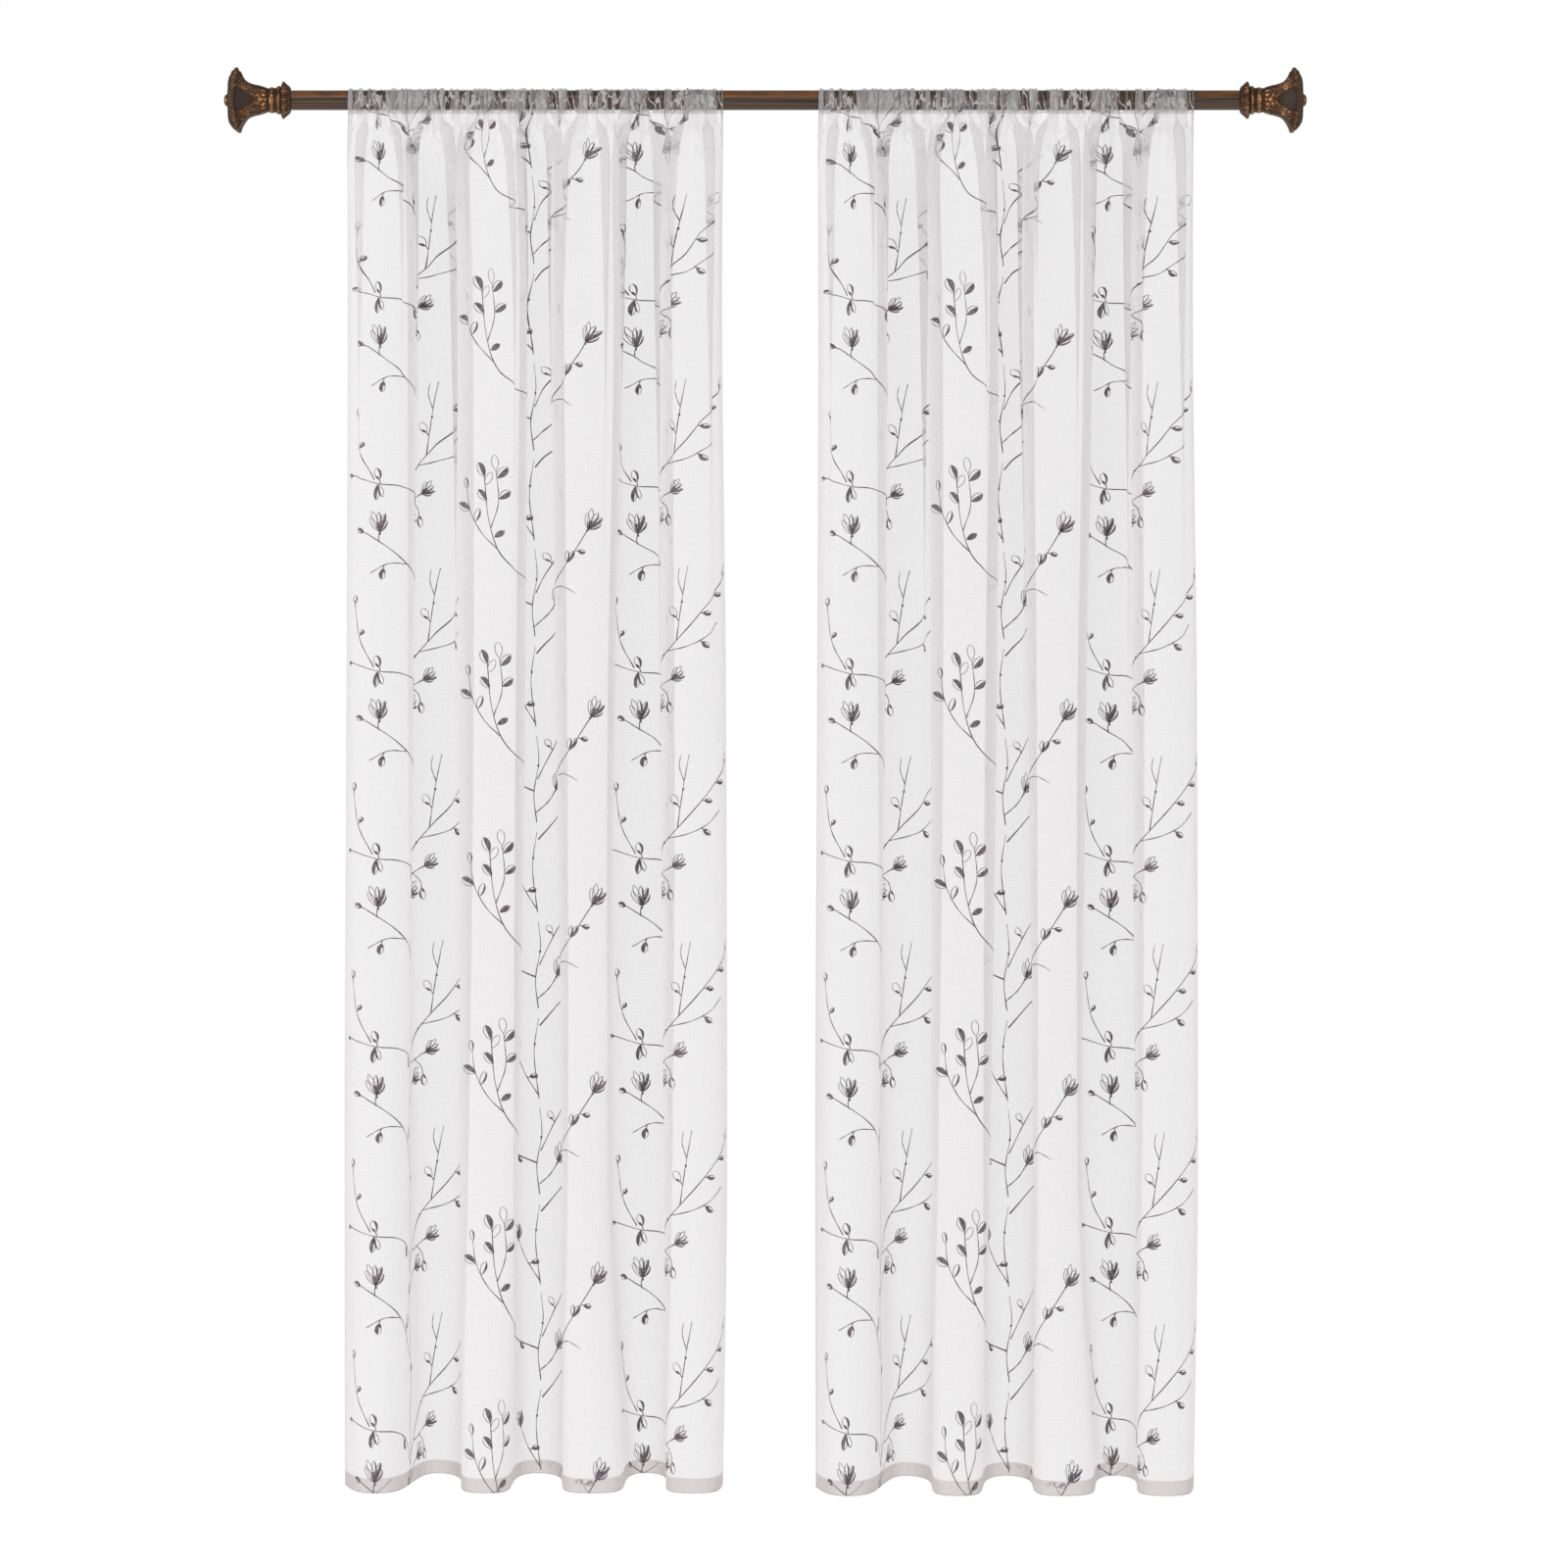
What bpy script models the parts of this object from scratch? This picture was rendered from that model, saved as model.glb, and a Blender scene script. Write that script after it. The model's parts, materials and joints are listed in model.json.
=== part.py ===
"""Two sheer voile curtains, gathered by their rod pockets on a curtain rod with square-flared finials.

Metres, +Z up, +X to the viewer's right, the viewer at -Y. The origin is the middle of the rod's axis.
"""

import math
from collections import namedtuple

import bmesh
import bpy
from mathutils import Vector

MM = 0.001

# Rod: one round tube, modelled solid, with a flat side of its polygon facing straight down
ROD_DIAMETER = 30 * MM
ROD_LENGTH = 1437 * MM
ROD_SIDES = 32
FINIAL_GAP = 0.3 * MM

# Finial: sections along its axis, from the collar that caps the rod to the button on its end.
# along and half_size are in mm, square is 0 for a round section and 1 for a square one, and leaf is how
# far the collar's leaf tips stand out of the section, in mm. The flare's four corners are its tips: the
# middle of each side is drawn in by the share drawn_in, and bow mm further out along the axis.
FINIAL_POINTS = 24
LEAF_TIPS = 8
SQUAREST_POWER = 9.0
Station = namedtuple("Station", "along half_size square leaf drawn_in bow", defaults=(0.0, 0.0, 0.0, 0.0))
FINIAL_STATIONS = (
    Station(0.0, 21.0),
    Station(1.6, 23.0, leaf=0.8),
    Station(6.5, 24.0, leaf=1.8),
    Station(12.5, 26.5, leaf=2.2),
    Station(17.5, 22.0, leaf=1.2),
    Station(20.5, 20.5),
    Station(24.0, 18.6),
    Station(28.0, 19.6),
    Station(32.5, 19.6),
    Station(35.0, 18.8, square=0.2),
    Station(46.0, 21.0, square=0.5, bow=0.5),
    Station(56.0, 22.6, square=0.7, drawn_in=0.02, bow=1.5),
    Station(64.0, 25.4, square=0.8, drawn_in=0.05, bow=3.0),
    Station(71.5, 35.0, square=0.9, drawn_in=0.12, bow=5.0),
    Station(76.0, 43.2, square=1.0, drawn_in=0.19, bow=6.5),
    Station(79.0, 50.4, square=1.0, drawn_in=0.22, bow=7.0),
    Station(81.0, 50.0, square=1.0, drawn_in=0.22, bow=6.8),
    Station(84.0, 47.4, square=0.95, drawn_in=0.19, bow=5.8),
    Station(89.0, 39.6, square=0.7, drawn_in=0.11, bow=3.5),
    Station(93.0, 29.8, square=0.4, drawn_in=0.04, bow=1.2),
    Station(95.8, 18.5, square=0.2),
    Station(97.0, 9.6),
    Station(99.5, 8.4),
    Station(101.5, 4.5),
)

# Cloth of both panels: one sheet, its top turned over the rod as a pocket
CLOTH_THICKNESS = 1.0 * MM
POCKET_CLEARANCE = 0.4 * MM
POCKET_POINTS = 10
POCKET_SEAM_DROP = 23 * MM
GATHER_DEPTH = 2.6 * MM
HEM_DROP = 2100 * MM
BACK_HEM_LIFT = 8 * MM

# Folds: four that come forward and three that go back, COLUMNS_PER_FOLD steps of the sheet in each
FOLDS = 7
COLUMNS_PER_FOLD = 8
FOLD_OVERHANG = 1.15
FRONT_FLATNESS = 1.3
SIDE_EDGE_TURN = 0.1

# Where the walls between the folds stand, in mm from the panel's upper left corner, at each drop below
# the rod's axis
Walls = namedtuple("Walls", "drop left_edge wall_1 wall_2 wall_3 wall_4 wall_5 wall_6 right_edge")
FOLD_WALLS = (
    Walls(0, 0, 92, 172, 256, 322, 406, 486, 571),
    Walls(300, 1, 98, 179, 266, 321, 409, 484, 568),
    Walls(900, -1, 97, 181, 262, 326, 401, 486, 574),
    Walls(1600, -4, 95, 178, 256, 330, 397, 487, 576),
    Walls(2100, -4, 97, 173, 251, 326, 421, 484, 570),
)

# How far the folds and the small pleats reach out of the sheet's plane, in mm each way
Relief = namedtuple("Relief", "drop fold pleat")
SHEET_RELIEF = (
    Relief(23, 0.6, 2.0),
    Relief(60, 5, 5.0),
    Relief(110, 14, 6.0),
    Relief(180, 27, 4.5),
    Relief(300, 42, 3.0),
    Relief(520, 54, 2.0),
    Relief(900, 62, 1.5),
    Relief(1500, 69, 1.0),
    Relief(2100, 74, 0.6),
)
SHEET_ROWS_MM = (60, 110, 180, 300, 520, 850, 1200, 1550, 1850, 2040)

# Panels: the upper left corner's place along the rod, and how much lower its hem hangs
Panel = namedtuple("Panel", "name corner extra_drop")
PANELS = (
    Panel("panel_left", -634 * MM, 0.0),
    Panel("panel_right", 79 * MM, 4 * MM),
)

Finish = namedtuple("Finish", "colour metallic roughness alpha")
BRONZE = Finish((0.055, 0.030, 0.017), 0.85, 0.42, 1.0)
VOILE = Finish((0.82, 0.79, 0.79), 0.0, 0.9, 0.6)


def make_material(name, finish):
    """A Principled material with the finish's colour, metallic value, roughness and opacity."""
    material = bpy.data.materials.new(name)
    material.use_nodes = True
    shader = material.node_tree.nodes["Principled BSDF"]
    shader.inputs["Base Color"].default_value = (*finish.colour, 1.0)
    shader.inputs["Metallic"].default_value = finish.metallic
    shader.inputs["Roughness"].default_value = finish.roughness
    shader.inputs["Alpha"].default_value = finish.alpha
    return material


def add_object(name, bm, material, collection):
    """Link the mesh of bm as an object of that name."""
    bmesh.ops.recalc_face_normals(bm, faces=bm.faces)
    mesh = bpy.data.meshes.new(name)
    bm.to_mesh(mesh)
    bm.free()
    mesh.materials.append(material)
    mesh.shade_smooth()
    mesh.set_sharp_from_angle(angle=math.radians(40))
    part = bpy.data.objects.new(name, mesh)
    collection.objects.link(part)
    return part


def table_value(rows, drop, column):
    """The named column of a table at a drop in mm, eased between the rows on either side of it."""
    if drop <= rows[0].drop:
        return getattr(rows[0], column)
    for above, below in zip(rows, rows[1:]):
        if drop <= below.drop:
            share = (drop - above.drop) / (below.drop - above.drop)
            return getattr(above, column) + share * (getattr(below, column) - getattr(above, column))
    return getattr(rows[-1], column)


def make_rod(material, collection):
    """The round rod along X, its polygon turned so that one flat side faces down."""
    bm = bmesh.new()
    radius = ROD_DIAMETER / 2
    bmesh.ops.create_cone(
        bm, cap_ends=True, segments=ROD_SIDES, radius1=radius, radius2=radius, depth=ROD_LENGTH
    )
    rod = add_object("rod", bm, material, collection)
    half_side = math.pi / ROD_SIDES
    rod.rotation_euler = (half_side, math.pi / 2, 0)
    rod.rotation_mode = "ZYX"
    return rod


def finial_ring(station):
    """Points of one finial section, a round that turns into a square as station.square grows.

    Each is (how far it is out along the axis past the section's corners, y, z).
    """
    power = 2.0 + (SQUAREST_POWER - 2.0) * station.square
    ring = []
    for step in range(FINIAL_POINTS):
        angle = 2 * math.pi * step / FINIAL_POINTS
        across = abs(math.cos(angle)) ** power + abs(math.sin(angle)) ** power
        off_middle = math.tan((angle + math.pi / 4) % (math.pi / 2) - math.pi / 4)
        middle = 1 - off_middle ** 2
        reach = station.half_size * across ** (-1.0 / power) * (1 - station.drawn_in * middle)
        reach += station.leaf * math.cos(LEAF_TIPS * angle)
        ring.append((station.bow * MM * middle, reach * MM * math.cos(angle), reach * MM * math.sin(angle)))
    return ring


def make_finial(name, side, material, collection):
    """One finial, lofted through its sections outwards from the rod's end at side -1 or +1."""
    bm = bmesh.new()
    start = ROD_LENGTH / 2 + FINIAL_GAP
    rings = []
    for station in FINIAL_STATIONS:
        along = start + station.along * MM
        rings.append([bm.verts.new((side * (along + out), y, z)) for out, y, z in finial_ring(station)])
    for inner, outer in zip(rings, rings[1:]):
        for step in range(FINIAL_POINTS):
            following = (step + 1) % FINIAL_POINTS
            bm.faces.new((inner[step], inner[following], outer[following], outer[step]))
    bm.faces.new(rings[0])
    bm.faces.new(rings[-1])
    return add_object(name, bm, material, collection)


def fold_point(turn, drop_mm):
    """The sheet's middle, (x, y) in mm, at turn folds from the left edge and at a drop below the rod.

    Each fold swings out of the sheet's plane and back, the even ones forward (-Y), and the walls between
    them lean past upright a little, as soft cloth does.
    """
    fold = min(int(turn), FOLDS - 1)
    along = turn - fold
    columns = FOLD_WALLS[0]._fields[1:]
    start = table_value(FOLD_WALLS, drop_mm, columns[fold])
    end = table_value(FOLD_WALLS, drop_mm, columns[fold + 1])
    reach = table_value(SHEET_RELIEF, drop_mm, "fold")
    overhang = FOLD_OVERHANG * reach / SHEET_RELIEF[-1].fold
    x = start + (end - start) * (along - overhang * math.sin(2 * math.pi * along) / (2 * math.pi))
    swing = math.sin(math.pi * along)
    if fold % 2:
        return x, reach * swing
    return x, -reach * math.tanh(FRONT_FLATNESS * swing) / math.tanh(FRONT_FLATNESS)


def gather(column):
    """How far a column of the gathered heading stands out, from 0 to 1, uneven from one to the next."""
    return 0.5 + 0.5 * math.cos(math.pi * column) * (0.75 + 0.25 * math.cos(1.7 * column))


def pleat(column):
    """The small pleats below the heading, from -1 to 1, where every few gathers run together."""
    return math.sin(1.05 * column + 0.8 * math.sin(0.37 * column))


def sheet_turn(column):
    """The place of a column across the folds; the free side edges stop short of a whole fold."""
    share = column / (FOLDS * COLUMNS_PER_FOLD)
    return SIDE_EDGE_TURN + share * (FOLDS - 2 * SIDE_EDGE_TURN)


def sheet_middle(panel, column, drop):
    """The sheet's middle as a point at a drop in metres below the rod's axis."""
    drop_mm = drop / MM
    x, y = fold_point(sheet_turn(column), drop_mm)
    y += table_value(SHEET_RELIEF, drop_mm, "pleat") * pleat(column)
    lift = BACK_HEM_LIFT * max(0.0, y) / SHEET_RELIEF[-1].fold * (drop / HEM_DROP) ** 8
    lowering = panel.extra_drop * (drop / HEM_DROP)
    return Vector((panel.corner + x * MM, y * MM, lift - drop - lowering))


def sheet_pair(panel, column, drop):
    """The front and back points of the sheet at a column, half its thickness off its middle each way."""
    last = FOLDS * COLUMNS_PER_FOLD
    before = sheet_middle(panel, max(column - 0.3, 0.0), drop)
    after = sheet_middle(panel, min(column + 0.3, last), drop)
    run = (after - before).to_2d().normalized()
    out = Vector((run.y, -run.x, 0.0)) * (CLOTH_THICKNESS / 2)
    middle = sheet_middle(panel, column, drop)
    return middle + out, middle - out


def pocket_arc(x, stand_out):
    """Points over the rod from its front to its back, between the lines that run down to the seam.

    stand_out is how far this face stands off the snug fit, whose flat steps just clear the rod.
    """
    snug = ROD_DIAMETER / 2 + POCKET_CLEARANCE
    first = math.acos(snug / POCKET_SEAM_DROP)
    step = 2 * (math.pi - first) / (POCKET_POINTS - 1)
    reach = snug / math.cos(step / 2) + stand_out
    angles = [first + step * point for point in range(POCKET_POINTS)]
    return [Vector((x, -reach * math.sin(angle), -reach * math.cos(angle))) for angle in angles]


def panel_section(bm, panel, column):
    """The vertices of one column: the sheet's front and back, and the pocket's outer and inner faces.

    Both pocket lines run from the seam, over the rod, and back to the seam.
    """
    drops = [POCKET_SEAM_DROP, *(row * MM for row in SHEET_ROWS_MM), HEM_DROP]
    pairs = [sheet_pair(panel, column, drop) for drop in drops]
    front = [bm.verts.new(pair[0]) for pair in pairs]
    back = [bm.verts.new(pair[1]) for pair in pairs]
    x = sheet_middle(panel, column, 0.0).x
    puff = GATHER_DEPTH * gather(column)
    outer_arc = [bm.verts.new(point) for point in pocket_arc(x, puff + CLOTH_THICKNESS)]
    inner_arc = [bm.verts.new(point) for point in pocket_arc(x, puff)]
    seam_inside = (pairs[0][0] + pairs[0][1]) / 2 + Vector((0, 0, CLOTH_THICKNESS))
    seam = bm.verts.new(seam_inside)
    return front, back, [front[0], *outer_arc, back[0]], [seam, *inner_arc, seam]


def skin(bm, left, right):
    """Faces between two neighbouring columns of points."""
    for step in range(len(left) - 1):
        bm.faces.new((left[step], left[step + 1], right[step + 1], right[step]))


def close_end(bm, section):
    """The cut side of the sheet: a strip down its thickness, and one round the pocket's wall."""
    front, back, outer, inner = section
    skin(bm, front, back)
    skin(bm, outer, inner)
    bm.faces.new((outer[0], inner[0], outer[-1]))


def make_panel(panel, material, collection):
    """One curtain: the hanging sheet and its rod pocket, as a single closed solid."""
    bm = bmesh.new()
    sections = [panel_section(bm, panel, column) for column in range(FOLDS * COLUMNS_PER_FOLD + 1)]
    for left, right in zip(sections, sections[1:]):
        for left_line, right_line in zip(left, right):
            skin(bm, left_line, right_line)
        bm.faces.new((left[0][-1], right[0][-1], right[1][-1], left[1][-1]))
    close_end(bm, sections[0])
    close_end(bm, sections[-1])
    return add_object(panel.name, bm, material, collection)


def main():
    """Clear the scene and build the rod, the finials and the two panels."""
    for old in list(bpy.data.objects):
        bpy.data.objects.remove(old, do_unlink=True)
    collection = bpy.data.collections.new("voile_curtains_on_rod")
    bpy.context.scene.collection.children.link(collection)
    bronze = make_material("antique_bronze", BRONZE)
    voile = make_material("printed_voile", VOILE)
    make_rod(bronze, collection)
    make_finial("finial_left", -1, bronze, collection)
    make_finial("finial_right", 1, bronze, collection)
    for panel in PANELS:
        make_panel(panel, voile, collection)


main()
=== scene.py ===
"""Looks of a pair of sheer printed voile curtains, gathered by their rod pockets on a curtain rod.

Metres, +Z up, +X to the viewer's right, the viewer at -Y, the origin in the middle of the rod's axis.
"""

import json
import logging
import math
from dataclasses import dataclass, fields
from enum import Enum
from typing import Any, Sequence

import bmesh
import bpy
import numpy as np
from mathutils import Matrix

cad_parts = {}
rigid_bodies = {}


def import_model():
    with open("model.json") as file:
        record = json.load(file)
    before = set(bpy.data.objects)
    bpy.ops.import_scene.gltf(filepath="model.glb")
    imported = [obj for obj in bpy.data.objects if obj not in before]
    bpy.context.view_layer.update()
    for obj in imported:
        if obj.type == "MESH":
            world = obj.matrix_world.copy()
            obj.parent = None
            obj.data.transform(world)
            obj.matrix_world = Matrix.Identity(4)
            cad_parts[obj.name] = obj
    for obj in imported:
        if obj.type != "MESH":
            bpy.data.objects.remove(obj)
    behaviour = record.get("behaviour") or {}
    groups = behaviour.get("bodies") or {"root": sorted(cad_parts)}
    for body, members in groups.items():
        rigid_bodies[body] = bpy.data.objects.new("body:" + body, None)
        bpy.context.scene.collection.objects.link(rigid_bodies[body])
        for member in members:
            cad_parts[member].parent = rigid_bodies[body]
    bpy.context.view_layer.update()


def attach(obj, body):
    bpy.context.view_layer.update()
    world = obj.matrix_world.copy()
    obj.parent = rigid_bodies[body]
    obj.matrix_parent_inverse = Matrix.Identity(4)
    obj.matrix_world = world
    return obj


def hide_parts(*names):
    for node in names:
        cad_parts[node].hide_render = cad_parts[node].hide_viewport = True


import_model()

LOG = logging.getLogger("voile_curtains")
MM = 0.001
Material = bpy.types.Material
Piece = bpy.types.Object
Socket = bpy.types.NodeSocket
Pair = tuple[float, float]


class Slot(Enum):
    """The record's material slots."""

    ROD = "rod_bronze"
    FINIAL = "finial_bronze"
    VOILE = "printed_voile"


class Side(Enum):
    """The two ends of the rod, as the sign of X."""

    LEFT = -1
    RIGHT = 1


def linear_rgb(code: str) -> tuple[float, float, float, float]:
    """Turn an sRGB hex colour into linear values.

    Args:
        code: The colour as "#rrggbb".

    Returns:
        Linear red, green and blue, and an alpha of 1.
    """
    channels = [int(code[start:start + 2], 16) / 255 for start in (1, 3, 5)]
    linear = [c / 12.92 if c <= 0.04045 else ((c + 0.055) / 1.055) ** 2.4 for c in channels]
    return (*linear, 1.0)


class Tree:
    """A node tree, with short ways to add the nodes that recur."""

    def __init__(self, tree: bpy.types.NodeTree) -> None:
        """Wrap a tree."""
        self.tree = tree

    def add(self, kind: str, inputs: dict | None = None, **settings: Any) -> bpy.types.Node:
        """Add a node, set it up and fill its inputs.

        Args:
            kind: The node's type name.
            inputs: Socket names or numbers, each with a value or with an output socket to link.
            **settings: Attributes of the node.

        Returns:
            The new node.
        """
        node = self.tree.nodes.new(kind)
        for name, value in settings.items():
            setattr(node, name, value)
        for key, value in (inputs or {}).items():
            if isinstance(value, Socket):
                self.tree.links.new(value, node.inputs[key])
            else:
                node.inputs[key].default_value = value
        return node

    def maths(self, operation: str, first: Any, second: Any = 0.0) -> Socket:
        """Add a Math node with two inputs and give its result."""
        return self.add("ShaderNodeMath", {0: first, 1: second}, operation=operation).outputs[0]

    def value(self, name: str) -> Socket:
        """Read one of the mesh's own values by its name."""
        return self.add("ShaderNodeAttribute", attribute_name=name).outputs["Fac"]

    def place(self) -> Socket:
        """Read the object's own coordinates, in metres."""
        return self.add("ShaderNodeTexCoord").outputs["Object"]

    def grain(self, place: Socket, sizes_mm: Sequence[float], detail: float) -> Socket:
        """Add noise whose grain has a real size along each axis.

        Args:
            place: Coordinates in metres.
            sizes_mm: The size of one grain along each axis, two of them on a flat map.
            detail: How many finer octaves lie in it.

        Returns:
            The noise's value, about 0.5 on average.
        """
        scale = tuple(1.0 / (size * MM) for size in (*sizes_mm, 1000.0)[:3])
        mapped = self.add("ShaderNodeMapping", {"Vector": place, "Scale": scale}).outputs["Vector"]
        inputs = {"Vector": mapped, "Scale": 1.0, "Detail": detail}
        return self.add("ShaderNodeTexNoise", inputs).outputs["Fac"]

    def ranged(
        self, value: Socket, low: float, high: float, to_low: float = 0.0, to_high: float = 1.0
    ) -> Socket:
        """Stretch the values between low and high to a new range, and hold them to it.

        Args:
            value: What is stretched.
            low: The value that becomes to_low.
            high: The value that becomes to_high.
            to_low: The new lowest value.
            to_high: The new highest value.

        Returns:
            The stretched value.
        """
        inputs = {"Value": value, "From Min": low, "From Max": high, "To Min": to_low, "To Max": to_high}
        return self.add("ShaderNodeMapRange", inputs).outputs["Result"]

    def mixed(self, share: Socket, first: Socket | str, second: Socket | str) -> Socket:
        """Mix two colours, each a hex code or a socket, by the second one's share."""
        one, two = (linear_rgb(colour) if isinstance(colour, str) else colour for colour in (first, second))
        return self.add("ShaderNodeMix", {0: share, 6: one, 7: two}, data_type="RGBA").outputs[2]

    def bump(self, height: Socket, strength: float, depth_mm: float) -> Socket:
        """Bend the surface's normal by a height from 0 to 1, depth_mm deep, and give the normal."""
        inputs = {"Strength": strength, "Distance": depth_mm * MM, "Height": height}
        return self.add("ShaderNodeBump", inputs).outputs[0]

    def shader(self, kind: str, inputs: dict | None = None) -> Socket:
        """Add a surface shader, such as Principled, and give its result."""
        return self.add(f"ShaderNodeBsdf{kind}", inputs).outputs[0]

    def blend(self, share: Socket | float, first: Socket, second: Socket) -> Socket:
        """Mix two shaders by the second one's share."""
        return self.add("ShaderNodeMixShader", {0: share, 1: first, 2: second}).outputs[0]

    def show(self, shader: Socket) -> None:
        """Link a shader to the material's output."""
        output = next(node for node in self.tree.nodes if node.type == "OUTPUT_MATERIAL")
        self.tree.links.new(shader, output.inputs["Surface"])


def new_material(name: str) -> tuple[Material, Tree]:
    """Make a material whose tree holds only its output.

    Args:
        name: The finish's plain name.

    Returns:
        The material and its node tree.
    """
    material = bpy.data.materials.new(name)
    material.use_nodes = True
    nodes = material.node_tree.nodes
    for node in [node for node in nodes if node.type != "OUTPUT_MATERIAL"]:
        nodes.remove(node)
    return material, Tree(material.node_tree)


@dataclass(frozen=True)
class SheerVoile:
    """Polyester voile: a thin open weave with slubs, matt, that lets through light and what is behind it.

    Its gaps are see-through, and fewer of them stay open where a sight line crosses more layers of thread.
    """

    cloth: str = "#f4f2f3"
    # The crease colour is painted light: a lighter tint where a sight line crosses more layers. It lifts
    # steep walls that get less light, and it lights the crinkles like highlights
    crease: str = "#f7f5f5"
    hem: str = "#e5e0df"
    hem_edge: str = "#b3acab"
    gap: float = 0.42
    slub_gap: float = 0.1
    light_through: float = 0.6
    # Real threads are 0.35 mm apart, too fine to show, so the slubs are drawn five times as coarse
    slub_mm: Pair = (1.7, 22.0)
    pucker_mm: Pair = (24.0, 46.0)
    pucker_line: float = 0.028
    pucker_layers: float = 13.0
    bunch_mm: Pair = (34.0, 220.0)
    bunch_layers: Pair = (-0.8, 1.2)
    crease_layers: Pair = (1.15, 4.0)

    def material(self) -> Material:
        """Make the cloth's material, patterned on its flat UV map in metres."""
        material, tree = new_material("sheer_voile")
        flat = tree.add("ShaderNodeUVMap", uv_map="flat").outputs["UV"]
        warp, weft = (tree.grain(flat, sizes, 2.0) for sizes in (self.slub_mm, self.slub_mm[::-1]))
        slub = tree.maths("ADD", warp, weft)
        # Thin crinkled ridges where the cloth is gathered: they run where a soft noise crosses its middle
        soft = tree.grain(flat, self.pucker_mm, 3.0)
        away = tree.maths("ABSOLUTE", tree.maths("SUBTRACT", soft, 0.5))
        crinkle = tree.ranged(away, 0.0, self.pucker_line, self.pucker_layers, 0.0)
        bunched = tree.ranged(tree.grain(flat, self.bunch_mm, 2.0), 0.38, 0.62, *self.bunch_layers)
        ridge = tree.maths("MULTIPLY", tree.maths("ADD", crinkle, bunched), tree.value("gathered"))
        layers = tree.maths("ADD", tree.value("layers"), ridge)
        gap = tree.ranged(slub, 0.7, 1.3, self.gap + self.slub_gap / 2, self.gap - self.slub_gap / 2)
        # Painted light: the tint lightens where more layers are crossed, on steep walls and gathered crinkles
        tint = tree.mixed(tree.ranged(layers, *self.crease_layers), self.cloth, self.crease)
        hemmed = tree.value("hemmed")
        tint = tree.mixed(tree.ranged(hemmed, 0.0, 1.0), tint, self.hem)
        tint = tree.mixed(tree.ranged(hemmed, 1.0, 2.0), tint, self.hem_edge)
        normal = tree.bump(slub, 0.25, 0.2)
        matt = {"Base Color": tint, "Roughness": 0.92, "Sheen Weight": 0.12, "Normal": normal}
        lit_through = tree.shader("Translucent", {"Color": tint, "Normal": normal})
        threads = tree.blend(self.light_through, tree.shader("Principled", matt), lit_through)
        tree.show(tree.blend(tree.maths("POWER", gap, layers), threads, tree.shader("Transparent")))
        return material


@dataclass(frozen=True)
class PrintInk:
    """Pigment print on voile: a flat warm grey that takes a little unevenly on the open weave."""

    dark: str = "#584e53"
    worn: str = "#877d82"
    patch_mm: float = 5.0

    def material(self) -> Material:
        """Make the ink's material, patterned on Object coordinates."""
        material, tree = new_material("print_ink")
        patch = tree.grain(tree.place(), (self.patch_mm,) * 3, 3.0)
        colour = tree.mixed(tree.ranged(patch, 0.35, 0.7), self.dark, self.worn)
        tree.show(tree.shader("Principled", {"Base Color": colour, "Roughness": 0.85}))
        return material


@dataclass(frozen=True)
class SewingThread:
    """White polyester sewing thread, a little glossier than the voile."""

    colour: str = "#efeae8"
    dull: str = "#d6cfcb"
    twist_mm: float = 0.8

    def material(self) -> Material:
        """Make the thread's material, patterned on Object coordinates."""
        material, tree = new_material("sewing_thread")
        twist = tree.grain(tree.place(), (self.twist_mm,) * 3, 1.0)
        colour = tree.mixed(twist, self.colour, self.dull)
        tree.show(tree.shader("Principled", {"Base Color": colour, "Roughness": 0.6, "Sheen Weight": 0.2}))
        return material


@dataclass(frozen=True)
class RodBronze:
    """Steel tube in an antique bronze coat: dark streaks brushed along it, and a warm painted highlight along
    its top, where light from above would catch it.

    The highlight is painted only where the rod is bare: between the two panels and beyond them. Under the
    cloth it is left out, which paints the cloth's shade on the rod.
    """

    dark: str = "#40362f"
    brown: str = "#5f4e43"
    # The next colour is a painted highlight. The heights below place it along the top, and the gap and cover
    # sizes keep it off where the cloth shades the rod
    orange: str = "#9f6637"
    streak_mm: tuple[float, float, float] = (190.0, 1.3, 1.3)
    cloud_mm: tuple[float, float, float] = (45.0, 9.0, 9.0)
    rubbed_heights: Pair = (2 * MM, 9 * MM)
    rubbed_most: float = 0.85
    gap_middle: float = 8 * MM
    gap_half: float = 68 * MM
    covered_to: float = 646 * MM
    fade: float = 8 * MM
    roughness: float = 0.36

    def material(self) -> Material:
        """Make the rod's material, its streaks along X."""
        material, tree = new_material("brushed_antique_bronze")
        place = tree.place()
        streak = tree.grain(place, self.streak_mm, 4.0)
        base = tree.mixed(tree.ranged(streak, 0.35, 0.65), self.dark, self.brown)
        parts = tree.add("ShaderNodeSeparateXYZ", {0: place}).outputs
        # Painted highlight along the rod's top, where light from above would catch it
        painted_highlight = tree.ranged(parts["Z"], *self.rubbed_heights, 0.0, self.rubbed_most)
        # Only where the rod is bare: leaving it out under the cloth paints the cloth's shade on the rod
        off = tree.maths("ABSOLUTE", tree.maths("SUBTRACT", parts["X"], self.gap_middle))
        between = tree.ranged(off, self.gap_half, self.gap_half + self.fade, 1.0, 0.0)
        bare = tree.maths("ADD", tree.ranged(off, self.covered_to - self.fade, self.covered_to), between)
        uneven = tree.ranged(tree.grain(place, self.cloud_mm, 2.0), 0.35, 0.7, 0.25, 1.0)
        painted_highlight = tree.maths("MULTIPLY", tree.maths("MULTIPLY", painted_highlight, uneven), bare)
        colour = tree.mixed(painted_highlight, base, self.orange)
        rough = tree.ranged(streak, 0.3, 0.7, self.roughness - 0.06, self.roughness + 0.1)
        normal = tree.bump(streak, 0.3, 0.1)
        metal = {"Base Color": colour, "Metallic": 0.85, "Roughness": rough, "Normal": normal}
        tree.show(tree.shader("Principled", metal))
        return material


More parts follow.
